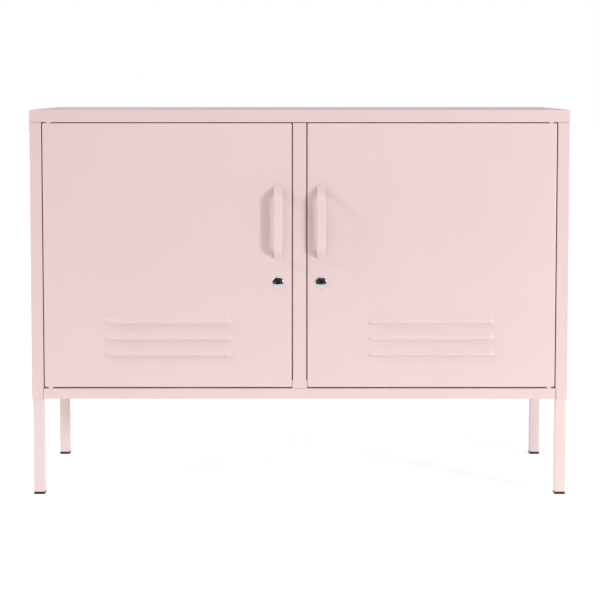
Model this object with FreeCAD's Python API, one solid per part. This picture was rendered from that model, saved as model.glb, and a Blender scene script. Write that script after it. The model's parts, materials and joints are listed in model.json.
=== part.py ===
import FreeCAD, Part
import math
import os

# Low two-door steel locker cabinet on four legs, in millimetres.
# X runs across the width, the doors face -Y and Z is up.
# The origin is on the floor, in the middle of the whole object's box, handles included.
# Everything beside the left door is made once and mirrored for the right.

# Overall sizes
overall_width = 1000.0
case_depth = 400.0  # the steel case alone, without the handles
overall_height = 720.0
leg_height = 180.0  # from the floor to the foot of the side panels

# Sheet metal
sheet = 0.8
seam = 0.2  # between sheets that nest or butt
return_width = 15.0  # inward fold at the end of a flange
top_flange = 23.0  # height of the band above the doors
rail_height = 20.5  # from the foot of the side panels to the cabinet floor
rail_lift = 0.8  # the rail ends this much above the foot of the side panels
stile_width = 22.0
stile_return = 22.0
back_recess = 4.0  # depth of the step that the back panel sits in
back_step = 6.0  # width of the rim round that step
back_flange = 15.0

# Centre post
post_width = 25.0
post_brim = 12.0
post_top_seam = 1.1

# Doors
door_depth = 18.0
door_top_gap = 1.5
door_bottom_gap = 2.3
door_swing_clearance = 0.45  # between the door's outer corner and the stile as it swings
door_post_gap = 2.0
door_return = 12.0
door_stop_space = 2.0  # between the door's back and the post's brim, for the bump stops
hinge_inset = 11.0  # from the door's outer edge to the hinge axis
hinge_setback = 5.5  # from the door's front face to the hinge axis

# Hinge pins and bushes
pin_radius = 2.5
pin_head_radius = 4.5
pin_head_height = 2.0
pin_head_clearance = 0.5
pin_reach = 9.0  # how far a pin stands inside the door
pin_clearance = 0.05
bush_wall = 1.25
bush_flange_radius = 5.0
bush_end_gap = 0.1
press_gap = 0.05  # between a piece and the hole it is fixed in

# Louvres
louvre_count = 3
louvre_length = 237.0
louvre_height = 16.0
louvre_pitch = 30.2
louvre_reach = 5.0
louvre_corner = 13.0
louvre_round = 4.0
louvre_lowest = 58.5  # from the door's bottom edge to the lowest open edge

# Handles
handle_reach = 24.0
handle_length = 138.0
handle_width = 16.0
handle_middle = 309.2  # above the door's bottom edge
handle_from_centre = 40.0
handle_slope = 52.0  # degrees between the door face and the handle's end
handle_bend = 14.0
handle_web = 2.0
handle_rim = 5.0
handle_wall = 2.0
handle_edge_round = 1.6
handle_boss_radius = 4.0
handle_boss_inset = 12.0
handle_boss_length = 9.0

# Cam locks
lock_height = 196.7  # above the door's bottom edge
lock_bezel_radius = 11.0
lock_bezel_height = 2.6
lock_bezel_round = 1.2
lock_barrel_radius = 9.5
lock_plug_radius = 6.0
lock_plug_sunk = 0.4
lock_running_gap = 0.05
keyway_width = 1.6
keyway_height = 8.0
keyway_depth = 12.0
lock_nut_flats = 24.0
lock_nut_height = 4.0
cam_thickness = 2.0
cam_hub_radius = 9.0
cam_tip_width = 14.0
cam_length = 28.0
cam_square = 7.0
cam_post_gap = 0.8  # between the cam and the back of the post's brim

# Door stiffener
stiffener_from_centre = 85.0
stiffener_crown = 24.0
stiffener_brim = 10.0
stiffener_depth = 13.0
stiffener_end_gap = 19.0

# Magnet catches and stops
catch_height = 16.0
catch_width = 22.0
catch_depth = 16.5
catch_nose = 1.3
catch_nose_setback = 1.5
catch_gap = 0.3
strike_thickness = 1.2
strike_width = 18.0
strike_height = 10.0
stop_radius = 4.0
stop_gap = 0.1

# Legs and feet
leg_side = 20.0
leg_wall = 1.2
leg_plate = 60.0
leg_plate_thickness = 2.5
leg_corner_round = 1.5
foot_height = 5.0
foot_overhang = 0.3
foot_plug_height = 16.0
foot_corner_round = 2.0
foot_chamfer = 0.8
leg_bolt_swing_gap = 3.35  # between the nearest bolt heads and the door's swing
leg_bolt_far = 48.0

# Shelves, uprights and clips
upright_width = 24.0
upright_from_front = 64.0
upright_from_back = 68.0
upright_top_gap = 8.0
slot_width = 11.0
slot_height = 5.0
slot_pitch = 25.0
slot_count = 17
first_slot = 45.0  # above the cabinet floor
shelf_slot = 8
shelf_end_gap = 1.5
shelf_front_gap = 7.4  # between the shelf and the lock's cam screw
shelf_back_gap = 12.0
shelf_flange = 20.0
shelf_return = 10.0
clip_width = 10.0
clip_ledge = 12.0
clip_thickness = 2.0
clip_drop = 9.0
clip_hook_reach = 3.0
clip_hook_drop = 3.5
clip_column_offset = 9.0  # left and right clips sit apart on the thin divider

# Divider
divider_front_gap = 1.5
divider_flange = 15.0

# Back panel holes
cable_hole_radius = 28.0
cable_bore_radius = 25.0
cable_flange_radius = 32.0
grommet_flange = 1.6
cable_hole_height = 75.0  # above the cabinet floor
wall_hole_radius = 3.5
wall_hole_from_centre = 400.0
wall_hole_drop = 50.0  # below the top panel

# Screws and bolts
screw_radius = 2.0
screw_head_radius = 3.8
screw_head_height = 1.6
screw_length = 9.0
back_screw_shares_up = (0.2, 0.5, 0.8)  # along the height between the lowest and highest screws
back_screw_shares_across = (0.3, 0.84)  # of the distance from the middle to the stile's edge
bolt_radius = 3.0
bolt_head_radius = 5.5
bolt_head_height = 3.0
bolt_length = 14.0
nut_radius = 5.5
nut_height = 5.0

# Places worked out from the sizes above
front = -(case_depth + handle_reach) / 2 + handle_reach
back = front + case_depth
side = overall_width / 2
side_inner = side - sheet
stile_edge = side - stile_width
band_bottom = overall_height - top_flange
side_top = band_bottom - seam
floor_top = leg_height + rail_height
floor_under = floor_top - sheet
rail_bottom = leg_height + rail_lift
back_face = back - back_recess  # outer face of the flanges that carry the back panel
post_half = post_width / 2
hinge_corner_reach = math.hypot(hinge_inset, hinge_setback)
door_outer = stile_edge - (hinge_corner_reach - hinge_inset) - door_swing_clearance
door_inner = post_half + door_post_gap
door_bottom = floor_top + door_bottom_gap
door_top = band_bottom - door_top_gap
door_back = front + door_depth
post_back = door_back + door_stop_space
swing_back = front + hinge_setback + math.hypot(hinge_inset, door_depth - hinge_setback)
door_middle = (door_outer + door_inner) / 2
hinge_x = door_outer - hinge_inset
hinge_y = front + hinge_setback
bush_radius = pin_radius + pin_clearance + bush_wall
lock_z = door_bottom + lock_height
cam_front = post_back + sheet + cam_post_gap
cam_screw_back = cam_front + cam_thickness + bolt_head_height
leg_outer = side_inner - 2 * seam - sheet
leg_front = front + sheet + seam
leg_bolt_near = swing_back + bolt_head_radius + leg_bolt_swing_gap - leg_front
shelf_z = floor_top + first_slot + shelf_slot * slot_pitch + slot_height + shelf_flange
upright_face = stile_edge
catch_face = door_back + strike_thickness + catch_gap
catch_back = catch_face + catch_depth


def at(x, y, z):
    return FreeCAD.Vector(x, y, z)


def block(x0, x1, y0, y1, z0, z1):
    """Box between two values on each axis, given in either order."""
    low = at(min(x0, x1), min(y0, y1), min(z0, z1))
    return Part.makeBox(abs(x1 - x0), abs(y1 - y0), abs(z1 - z0), low)


def joined(shapes):
    return shapes[0].multiFuse(shapes[1:]).removeSplitter()


def rod(radius, start, direction, length):
    return Part.makeCylinder(radius, length, start, direction)


def mirrored(shape):
    return shape.mirror(at(0, 0, 0), at(1, 0, 0))


def rounded_face(corners):
    """Flat face from (point, radius) corners, with a tangent arc at each corner that has a radius."""
    edges = []
    ends = []
    for index, (corner, radius) in enumerate(corners):
        before = corners[index - 1][0] - corner
        after = corners[(index + 1) % len(corners)][0] - corner
        if radius == 0:
            ends.append((corner, corner))
            continue
        half = before.getAngle(after) / 2
        reach = radius / math.tan(half)
        before.normalize()
        after.normalize()
        start = corner + before * reach
        end = corner + after * reach
        inward = (before + after).normalize()
        middle = corner + inward * (radius / math.sin(half) - radius)
        edges.append(Part.Arc(start, middle, end).toShape())
        ends.append((start, end))
    for index in range(len(ends)):
        line_start = ends[index - 1][1]
        line_end = ends[index][0]
        if line_start.distanceToPoint(line_end) > 1e-6:
            edges.append(Part.LineSegment(line_start, line_end).toShape())
    return Part.Face(Part.Wire(Part.__sortEdges__(edges)))


def edges_at(shape, test):
    """Edges whose every vertex passes the test."""
    return [edge for edge in shape.Edges if all(test(v.Point) for v in edge.Vertexes)]


def screw(head_base, direction, radius, head_radius, head_height, length):
    """Round-headed screw: the head stands on head_base, the shank runs along direction."""
    head = rod(head_radius, head_base, direction * -1, head_height)
    shank = rod(radius, head_base, direction, length)
    return joined([head, shank])


def small_screw(head_base, direction):
    return screw(head_base, direction, screw_radius, screw_head_radius, screw_head_height, screw_length)


def drilled(shape, points, direction, radius, reach=2 * sheet + seam):
    """Shape with a hole at each point, drilled to the reach on both sides of it."""
    drills = [rod(radius, point - direction * reach, direction, 2 * reach) for point in points]
    return shape.cut(Part.makeCompound(drills))


def hinge_spots():
    return [at(sign * hinge_x, hinge_y, 0) for sign in (-1, 1)]


def post_screw_spot():
    return at(0, (front + post_back) / 2, 0)


def case_screw_spots():
    across = side - return_width / 2
    along = (front + upright_from_front, (front + back) / 2, back - upright_from_back)
    return [at(sign * across, y, 0) for sign in (-1, 1) for y in along]


def divider_screw_spots():
    across = -divider_flange / 2
    return [at(across, y, 0) for y in (front + upright_from_front, back - upright_from_back)]


def catch_screw_spots():
    across = post_half + seam + catch_width / 2 + catch_nose
    along = (catch_face + catch_back) / 2
    return [at(sign * across, along, 0) for sign in (-1, 1)]


def back_screw_spots():
    """Screw places on the back panel, each on a flange that stands behind it."""
    across = side - back_step - back_flange / 2
    low = leg_height + rail_height / 2
    high = band_bottom - back_flange / 2
    heights = [low + (high - low) * share for share in back_screw_shares_up]
    spots = [at(sign * across, back_face, z) for sign in (-1, 1) for z in heights]
    shares = [sign * share for sign in (-1, 1) for share in back_screw_shares_across]
    spots += [at(share * stile_edge, back_face, z) for share in shares for z in (low, high)]
    spots += [at(divider_flange / 2, back_face, z) for z in heights]
    return spots


def leg_bolt_spots(right, rear):
    """Bolt places on one leg's plate, measured in from the plate's outer corner."""
    x_sign = 1 if right else -1
    offsets = [(leg_bolt_far, leg_bolt_near), (leg_bolt_near, leg_bolt_far), (leg_bolt_far, leg_bolt_far)]
    corner_y = back_face - sheet - seam if rear else leg_front
    y_sign = -1 if rear else 1
    return [at(x_sign * (leg_outer - dx), corner_y + y_sign * dy, 0) for dx, dy in offsets]


def all_leg_bolt_spots():
    places = [(right, rear) for right in (False, True) for rear in (False, True)]
    return [spot for right, rear in places for spot in leg_bolt_spots(right, rear)]


def raised(points, z):
    return [at(point.x, point.y, z) for point in points]


def top_panel():
    """Tray turned upside down, with folded returns and a stepped flange for the back panel."""
    top = overall_height
    return_top = band_bottom + sheet
    sheets = [
        block(-side, side, front, back, top - sheet, top),
        block(-side, side, front, front + sheet, band_bottom, top),
        block(-side, side, back - sheet, back, band_bottom, top),
        block(-side, side, front, front + return_width, band_bottom, return_top),
        block(-stile_edge, stile_edge, back_face - sheet, back, band_bottom, return_top),
        block(-stile_edge, stile_edge, back_face - sheet, back_face, band_bottom - back_flange, return_top),
    ]
    for sign in (-1, 1):
        sheets.append(block(sign * side_inner, sign * side, front, back, band_bottom, top))
        sheets.append(block(sign * (side - return_width), sign * side, front, back, band_bottom, return_top))
    up = at(0, 0, 1)
    panel = joined(sheets)
    panel = drilled(panel, raised(hinge_spots(), band_bottom), up, pin_radius + press_gap)
    screws = raised(case_screw_spots() + [post_screw_spot()], band_bottom)
    panel = drilled(panel, screws, up, screw_radius + press_gap)
    rear = [point for point in back_screw_spots() if point.z > band_bottom - back_flange]
    return drilled(panel, rear, at(0, 1, 0), screw_radius + press_gap)


def bottom_panel():
    """Tray that makes the cabinet floor, with a front flange for the bottom rail."""
    edge = side_inner - seam
    rail_edge = stile_edge - seam
    rail_return_edge = leg_outer - leg_side - seam
    behind_stile = front + sheet + seam
    sheets = [
        block(-edge, edge, behind_stile, back_face, floor_under, floor_top),
        block(-rail_edge, rail_edge, front, behind_stile, floor_under, floor_top),
        block(-rail_edge, rail_edge, front, front + sheet, rail_bottom, floor_top),
        block(-edge, edge, back_face - sheet, back_face, rail_bottom, floor_top),
    ]
    for y0, y1 in ((front, front + return_width), (back_face - return_width, back_face)):
        sheets.append(block(-rail_return_edge, rail_return_edge, y0, y1, rail_bottom, rail_bottom + sheet))
    for sign in (-1, 1):
        outer = sign * edge
        inner = sign * (edge - sheet)
        sheets.append(block(inner, outer, behind_stile, back_face, rail_bottom, floor_top))
    panel = joined(sheets)
    up = at(0, 0, 1)
    panel = drilled(panel, raised(hinge_spots(), floor_top), up, pin_radius + press_gap)
    panel = drilled(panel, raised(all_leg_bolt_spots(), floor_top), up, bolt_radius + press_gap)
    small = divider_screw_spots() + catch_screw_spots() + [post_screw_spot()]
    panel = drilled(panel, raised(small, floor_top), up, screw_radius + press_gap)
    rear = [point for point in back_screw_spots() if point.z < floor_top]
    return drilled(panel, rear, at(0, 1, 0), screw_radius + press_gap)


def left_side_panel():
    """Side sheet with the stile, its return, a top flange and the step for the back panel."""
    step = side - back_step
    flange_end = step - back_flange
    sheets = [
        block(-side, -side_inner, front, back, leg_height, side_top),
        block(-side, -stile_edge, front, front + sheet, leg_height, side_top),
        block(-stile_edge - sheet, -stile_edge, front, front + stile_return, floor_top + seam, side_top),
        block(-side, -side + return_width, front, back_face - sheet, side_top - sheet, side_top),
        block(-side, -step, back - sheet, back, floor_top + seam, side_top),
        block(-step - sheet, -step, back_face - sheet, back, floor_top + seam, side_top),
        block(-step, -flange_end, back_face - sheet, back_face, floor_top + seam, side_top - 2 * sheet),
    ]
    panel = joined(sheets)
    spots = [point for point in case_screw_spots() if point.x < 0]
    panel = drilled(panel, raised(spots, side_top), at(0, 0, 1), screw_radius + press_gap)
    rear = [p for p in back_screw_spots() if p.x < -flange_end and floor_top < p.z < side_top - back_flange]
    return drilled(panel, rear, at(0, 1, 0), screw_radius + press_gap)


def back_panel():
    """Flat sheet with two cable holes and two wall-fixing holes."""
    edge = side - back_step - seam
    panel = block(-edge, edge, back_face, back_face + sheet, rail_bottom + sheet, band_bottom - seam)
    along = at(0, 1, 0)
    panel = drilled(panel, back_screw_spots(), along, screw_radius + press_gap)
    cable = [at(sign * door_middle, back_face, floor_top + cable_hole_height) for sign in (-1, 1)]
    panel = drilled(panel, cable, along, cable_hole_radius)
    wall_z = overall_height - wall_hole_drop
    wall = [at(sign * wall_hole_from_centre, back_face, wall_z) for sign in (-1, 1)]
    return drilled(panel, wall, along, wall_hole_radius)


def centre_post():
    """Hat section between the doors, open at the back, with a tab at each end."""
    low = floor_top + seam
    high = band_bottom - post_top_seam
    inner = post_half - sheet
    brim_low = floor_top + catch_height + 2 * screw_head_height
    sheets = [block(-post_half, post_half, front, front + sheet, low, high)]
    for sign in (-1, 1):
        sheets.append(block(sign * inner, sign * post_half, front, post_back + sheet, low, high))
        brim_end = sign * (post_half + post_brim)
        sheets.append(block(sign * inner, brim_end, post_back, post_back + sheet, brim_low, high))
    tab_end = post_back - 2 * sheet
    sheets.append(block(-post_half, post_half, front, tab_end, low, low + sheet))
    sheets.append(block(-inner, inner, front, tab_end, high - sheet, side_top))
    post = joined(sheets)
    tab_middles = (low + sheet / 2, (high - sheet + side_top) / 2)
    spots = [post_screw_spot() + at(0, 0, z) for z in tab_middles]
    return drilled(post, spots, at(0, 0, 1), screw_radius + press_gap)


def slot_heights():
    return [floor_top + first_slot + index * slot_pitch for index in range(slot_count)]


def column_centres():
    """Where the front and back slot columns stand, along Y."""
    front_column = front + upright_from_front + upright_width / 2
    return (front_column, back - upright_from_back - upright_width / 2)


def slots(x_low, x_high, columns):
    cuts = [
        block(x_low, x_high, y - slot_width / 2, y + slot_width / 2, z, z + slot_height)
        for y in columns
        for z in slot_heights()
    ]
    return Part.makeCompound(cuts)


def centre_divider():
    """Sheet between the two compartments, folded at the floor and at the back panel."""
    half = sheet / 2
    start = post_back - divider_front_gap
    notch_end = front + return_width + divider_front_gap + door_post_gap
    low = floor_top
    flange_low = floor_top + back_flange
    flange_high = band_bottom - back_flange - divider_front_gap
    sheets = [
        block(-half, half, max(start, notch_end), back_face - sheet - seam, low, overall_height - sheet - seam),
        block(-divider_flange, half, catch_back + divider_front_gap, back_face - return_width, low, low + sheet),
        block(-half, half, back_face - 2 * sheet, back_face, flange_low, flange_high),
        block(-half, divider_flange, back_face - sheet, back_face, flange_low, flange_high),
    ]
    divider = joined(sheets)
    columns = [y + offset for y in column_centres() for offset in (-clip_column_offset, clip_column_offset)]
    divider = divider.cut(slots(-sheet, sheet, columns))
    divider = drilled(divider, raised(divider_screw_spots(), low), at(0, 0, 1), screw_radius + press_gap)
    rear = [p for p in back_screw_spots() if abs(p.x - divider_flange / 2) < 1]
    return drilled(divider, rear, at(0, 1, 0), screw_radius + press_gap)


def left_upright(column):
    """Slotted channel fixed to the inside of the left side panel."""
    low = floor_top + seam
    high = side_top - upright_top_gap
    y0 = column - upright_width / 2
    y1 = column + upright_width / 2
    wall = -side_inner + seam
    sheets = [block(-upright_face - sheet, -upright_face, y0, y1, low, high)]
    for start in (y0, y1 - sheet):
        sheets.append(block(wall, -upright_face, start, start + sheet, low, high))
    return joined(sheets).cut(slots(-upright_face - 2 * sheet, -upright_face + sheet, [column]))


def left_shelf():
    """Tray with its flanges folded down and returned at the front and back."""
    outer = -upright_face + shelf_end_gap
    inner = -sheet / 2 - shelf_end_gap
    y0 = cam_screw_back + shelf_front_gap
    y1 = back_face - shelf_back_gap
    low = shelf_z - shelf_flange
    top = shelf_z + sheet
    sheets = [
        block(outer, inner, y0, y1, shelf_z, top),
        block(outer, inner, y0, y0 + sheet, low, top),
        block(outer, inner, y1 - sheet, y1, low, top),
        block(outer, outer + sheet, y0, y1, low, top),
        block(inner - sheet, inner, y0, y1, low, top),
        block(outer, inner, y0, y0 + shelf_return, low, low + sheet),
        block(outer, inner, y1 - shelf_return, y1, low, low + sheet),
    ]
    return joined(sheets)


def clip(face, inward, column, wall):
    """Shelf clip: a ledge with a plate on the wall's face and a hook through its slot."""
    y0 = column - clip_width / 2
    y1 = column + clip_width / 2
    ledge_top = shelf_z - shelf_flange
    ledge_low = ledge_top - clip_thickness
    plate_low = ledge_low - clip_drop
    near = face + inward * press_gap
    far = face - inward * (wall + press_gap)
    hook_end = far - inward * clip_hook_reach
    hook_low = ledge_low - clip_hook_drop
    return joined(
        [
            block(near, face + inward * clip_ledge, y0, y1, ledge_low, ledge_top),
            block(near, near + inward * clip_thickness, y0, y1, plate_low, ledge_top),
            block(near, hook_end, y0, y1, ledge_low, ledge_top),
            block(hook_end, hook_end + inward * (clip_hook_reach - seam), y0, y1, hook_low, ledge_low),
        ]
    )


def shelf_clips():
    clips = []
    for column in column_centres():
        outer = clip(-upright_face, 1, column, sheet)
        inner = clip(-sheet / 2, -1, column - clip_column_offset, sheet)
        opposite = clip(-sheet / 2, -1, column + clip_column_offset, sheet)
        clips += [outer, inner, mirrored(outer), mirrored(opposite)]
    return Part.makeCompound(clips)


def leg(right, rear):
    """Square tube with a plate and three weld nuts at its top."""
    x_sign = 1 if right else -1
    outer = x_sign * leg_outer
    tube_inner_side = x_sign * (leg_outer - leg_side)
    plate_end = x_sign * (leg_outer - leg_plate)
    y_sign = -1 if rear else 1
    near = back_face - sheet - seam if rear else leg_front
    far = near + y_sign * leg_side
    plate_low = floor_under - leg_plate_thickness
    tube = block(outer, tube_inner_side, near, far, foot_height, plate_low)
    upright_edges = [edge for edge in tube.Edges if abs(edge.Vertexes[0].Z - edge.Vertexes[-1].Z) > leg_side]
    tube = tube.makeFillet(leg_corner_round, upright_edges)
    wall_x = x_sign * leg_wall
    wall_y = y_sign * leg_wall
    hollow = block(outer - wall_x, tube_inner_side + wall_x, near + wall_y, far - wall_y, 0, plate_low)
    pieces = [tube.cut(hollow)]
    pieces.append(block(outer, plate_end, near, near + y_sign * leg_plate, plate_low, floor_under))
    up = at(0, 0, 1)
    spots = leg_bolt_spots(right, rear)
    for spot in spots:
        pieces.append(rod(nut_radius, at(spot.x, spot.y, plate_low - nut_height), up, nut_height))
    whole = drilled(joined(pieces), raised(spots, plate_low), up, bolt_radius + press_gap, 2 * nut_height)
    if rear:
        return whole
    pin_foot = at(x_sign * hinge_x, hinge_y, plate_low)
    return whole.cut(rod(pin_head_radius + pin_head_clearance, pin_foot, up, leg_plate_thickness))


def foot(right, rear):
    """Plastic foot: a square cap under the tube and a plug inside it."""
    x_sign = 1 if right else -1
    near = back_face - sheet - seam - leg_side if rear else leg_front
    middle = at(x_sign * (leg_outer - leg_side / 2), near + leg_side / 2, 0)
    half = leg_side / 2 + foot_overhang
    cap = block(middle.x - half, middle.x + half, middle.y - half, middle.y + half, 0, foot_height)
    upright_edges = [edge for edge in cap.Edges if abs(edge.Vertexes[0].Z - edge.Vertexes[-1].Z) > 1]
    cap = cap.makeFillet(foot_corner_round, upright_edges)
    cap = cap.makeChamfer(foot_chamfer, edges_at(cap, lambda point: point.z < 1e-6))
    plug_half = leg_side / 2 - leg_wall - seam
    plug = block(
        middle.x - plug_half,
        middle.x + plug_half,
        middle.y - plug_half,
        middle.y + plug_half,
        foot_height,
        foot_height + foot_plug_height,
    )
    return joined([cap, plug])


def leg_bolts():
    down = at(0, 0, -1)
    sizes = (bolt_radius, bolt_head_radius, bolt_head_height, bolt_length)
    return Part.makeCompound([screw(spot, down, *sizes) for spot in raised(all_leg_bolt_spots(), floor_top)])


def lower_hinge_pin():
    """Headed pin that stands up through the cabinet floor."""
    base = at(-hinge_x, hinge_y, floor_under)
    up = at(0, 0, 1)
    length = door_bottom + pin_reach - floor_under
    return joined([rod(pin_radius, base, up, length), rod(pin_head_radius, base, up * -1, pin_head_height)])


def upper_hinge_pin():
    """Headed pin that hangs down through the top panel's front return."""
    base = at(-hinge_x, hinge_y, band_bottom + sheet)
    down = at(0, 0, -1)
    length = base.z - door_top + pin_reach
    return joined([rod(pin_radius, base, down, length), rod(pin_head_radius, base, down * -1, pin_head_height)])


def left_magnet_catch():
    """Block on the cabinet floor with a thin nose that fills the foot of the door gap."""
    inner = -post_half - seam
    outer = inner - catch_nose - catch_width
    low = floor_top
    high = floor_top + catch_height
    body = block(inner, outer, catch_face, catch_back, low, high)
    nose = block(inner, inner - catch_nose, front + catch_nose_setback, catch_face, low, high)
    spots = [spot for spot in catch_screw_spots() if spot.x < 0]
    spots = raised(spots, (low + high) / 2)
    return drilled(joined([body, nose]), spots, at(0, 0, 1), screw_radius + press_gap, catch_height)


def catch_screws():
    length = catch_height + 2 * screw_head_height
    sizes = (screw_radius, screw_head_radius, screw_head_height, length)
    spots = raised(catch_screw_spots(), floor_top + catch_height)
    return Part.makeCompound([screw(spot, at(0, 0, -1), *sizes) for spot in spots])


def left_cable_grommet():
    """Rubber ring with a flange on both faces of the back panel."""
    centre = at(-door_middle, back_face - grommet_flange, floor_top + cable_hole_height)
    along = at(0, 1, 0)
    inside = rod(cable_flange_radius, centre, along, grommet_flange)
    neck = rod(cable_hole_radius - press_gap, centre, along, sheet + 2 * grommet_flange)
    outside = rod(cable_flange_radius, centre + along * (sheet + grommet_flange), along, grommet_flange)
    bore = rod(cable_bore_radius, centre, along, sheet + 2 * grommet_flange)
    return joined([inside, neck, outside]).cut(bore)


def case_screws():
    up = at(0, 0, 1)
    return Part.makeCompound([small_screw(spot, up) for spot in raised(case_screw_spots(), side_top - sheet)])


def back_panel_screws():
    forward = at(0, -1, 0)
    heads = [at(spot.x, back_face + sheet, spot.z) for spot in back_screw_spots()]
    return Part.makeCompound([small_screw(head, forward) for head in heads])


def post_screws():
    spot = post_screw_spot()
    lower = small_screw(at(spot.x, spot.y, floor_top + seam + sheet), at(0, 0, -1))
    upper = small_screw(at(spot.x, spot.y, band_bottom - post_top_seam - sheet), at(0, 0, 1))
    return Part.makeCompound([lower, upper])


def divider_screws():
    spots = raised(divider_screw_spots(), floor_top + sheet)
    return Part.makeCompound([small_screw(spot, at(0, 0, -1)) for spot in spots])


def louvre(x0, x1, z_low, reach, rounding, corner):
    """Hood pressed out of the door face: flat foot, rounded upper corners and front edges."""
    z_high = z_low + louvre_height - (louvre_reach - reach)
    points = [(x0, z_low, 0), (x1, z_low, 0), (x1, z_high, corner), (x0, z_high, corner)]
    outline = rounded_face([(at(x, front + sheet, z), radius) for x, z, radius in points])
    hood = outline.extrude(at(0, -reach - sheet, 0))
    rim = front - reach
    front_edges = [
        edge
        for edge in hood.Edges
        if all(abs(v.Y - rim) < 1e-6 for v in edge.Vertexes) and edge.CenterOfMass.z > z_low + 1e-3
    ]
    return hood.makeFillet(rounding, front_edges)


def left_door_skin():
    """Pan with returned edges, three louvres, and holes for the lock, handle and bushes."""
    outer = -door_outer
    inner = -door_inner
    sheets = [
        block(outer, inner, front, front + sheet, door_bottom, door_top),
        block(outer, outer + sheet, front, door_back, door_bottom, door_top),
        block(inner - sheet, inner, front, door_back, door_bottom, door_top),
        block(outer, inner, front, door_back, door_bottom, door_bottom + sheet),
        block(outer, inner, front, door_back, door_top - sheet, door_top),
        block(outer, outer + door_return, door_back - sheet, door_back, door_bottom, door_top),
        block(inner - door_return, inner, door_back - sheet, door_back, door_bottom, door_top),
        block(outer, inner, door_back - sheet, door_back, door_bottom, door_bottom + door_return),
        block(outer, inner, door_back - sheet, door_back, door_top - door_return, door_top),
    ]
    x0 = -door_middle - louvre_length / 2
    x1 = -door_middle + louvre_length / 2
    lows = [door_bottom + louvre_lowest + index * louvre_pitch for index in range(louvre_count)]
    hoods = [louvre(x0, x1, z, louvre_reach, louvre_round, louvre_corner) for z in lows]
    hollow_reach = louvre_reach - sheet
    hollow_round = louvre_round - sheet
    hollow_corner = louvre_corner - sheet
    hollows = [louvre(x0 + sheet, x1 - sheet, z, hollow_reach, hollow_round, hollow_corner) for z in lows]
    skin = joined(sheets + hoods).cut(Part.makeCompound(hollows))
    along = at(0, 1, 0)
    lock_centre = at(-handle_from_centre, front, lock_z)
    skin = skin.cut(rod(lock_barrel_radius + press_gap, lock_centre - along, along, 2 * sheet + 1))
    skin = drilled(skin, handle_screw_spots(), along, screw_radius + press_gap)
    bush_hole = rod(bush_radius + press_gap, at(-hinge_x, hinge_y, door_bottom - 1), at(0, 0, 1), door_top)
    return skin.cut(bush_hole)


def left_door_stiffener():
    """Hat section welded behind the skin between the lock and the louvres."""
    centre = -stiffener_from_centre
    low = door_bottom + stiffener_end_gap
    high = door_top - stiffener_end_gap
    base = front + sheet
    crown_half = stiffener_crown / 2
    crown_back = base + stiffener_depth
    crown = block(centre - crown_half, centre + crown_half, crown_back - sheet, crown_back, low, high)
    sheets = [crown]
    for sign in (-1, 1):
        wall = centre + sign * crown_half
        wall_inner = wall - sign * sheet
        sheets.append(block(wall, wall_inner, base, crown_back, low, high))
        sheets.append(block(wall_inner, wall + sign * stiffener_brim, base, base + sheet, low, high))
    return joined(sheets)


def handle_screw_spots():
    middle = door_bottom + handle_middle
    offset = handle_length / 2 - handle_boss_inset
    return [at(-handle_from_centre, front, middle + sign * offset) for sign in (-1, 1)]


def bow(inset, width):
    """Prism under the handle's outer line, brought in by inset on every side but the door's."""
    slope = math.radians(handle_slope)
    middle = door_bottom + handle_middle
    half_foot = handle_length / 2 - inset / math.sin(slope)
    half_top = half_foot - (handle_reach - inset) / math.tan(slope)
    bend = handle_bend - inset
    rise = front - handle_reach + inset
    x = -handle_from_centre - width / 2
    corners = [
        (at(x, front, middle - half_foot), 0),
        (at(x, rise, middle - half_top), bend),
        (at(x, rise, middle + half_top), bend),
        (at(x, front, middle + half_foot), 0),
    ]
    return rounded_face(corners).extrude(at(width, 0, 0))


def left_handle():
    """Bow of channel section, open towards the door, with a threaded boss at each end."""
    outer = bow(0, handle_width)
    rims = [edge for edge in outer.Edges if edge.BoundBox.XLength < 1e-6 and edge.CenterOfMass.y < front - 1e-3]
    outer = outer.makeFillet(handle_edge_round, rims)
    finger_space = bow(handle_rim, handle_width + 2)
    channel = bow(handle_web, handle_width - 2 * handle_wall)
    handle = outer.cut(finger_space).cut(channel)
    bosses = [rod(handle_boss_radius, spot, at(0, -1, 0), handle_boss_length) for spot in handle_screw_spots()]
    bosses = [boss.common(bow(handle_web / 2, handle_width)) for boss in bosses]
    holes = [rod(screw_radius + press_gap, spot, at(0, -1, 0), screw_length) for spot in handle_screw_spots()]
    return joined([handle] + bosses).cut(Part.makeCompound(holes))


def left_handle_screws():
    forward = at(0, -1, 0)
    heads = [spot + at(0, sheet, 0) for spot in handle_screw_spots()]
    length = handle_boss_length
    sizes = (screw_radius, screw_head_radius, screw_head_height, length)
    return Part.makeCompound([screw(head, forward, *sizes) for head in heads])


def left_lock_barrel():
    """Chrome bezel in front of the door and a threaded barrel behind it."""
    along = at(0, 1, 0)
    face = at(-handle_from_centre, front, lock_z)
    bezel = rod(lock_bezel_radius, face, along * -1, lock_bezel_height)
    rim = front - lock_bezel_height
    bezel = bezel.makeFillet(lock_bezel_round, edges_at(bezel, lambda point: abs(point.y - rim) < 1e-6))
    barrel_end = cam_front - lock_running_gap
    barrel = rod(lock_barrel_radius, face, along, barrel_end - front)
    bore = rod(
        lock_plug_radius + lock_running_gap,
        face - along * (lock_bezel_height + 1),
        along,
        barrel_end - front + lock_bezel_height + 2,
    )
    return joined([bezel, barrel]).cut(bore)


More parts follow.
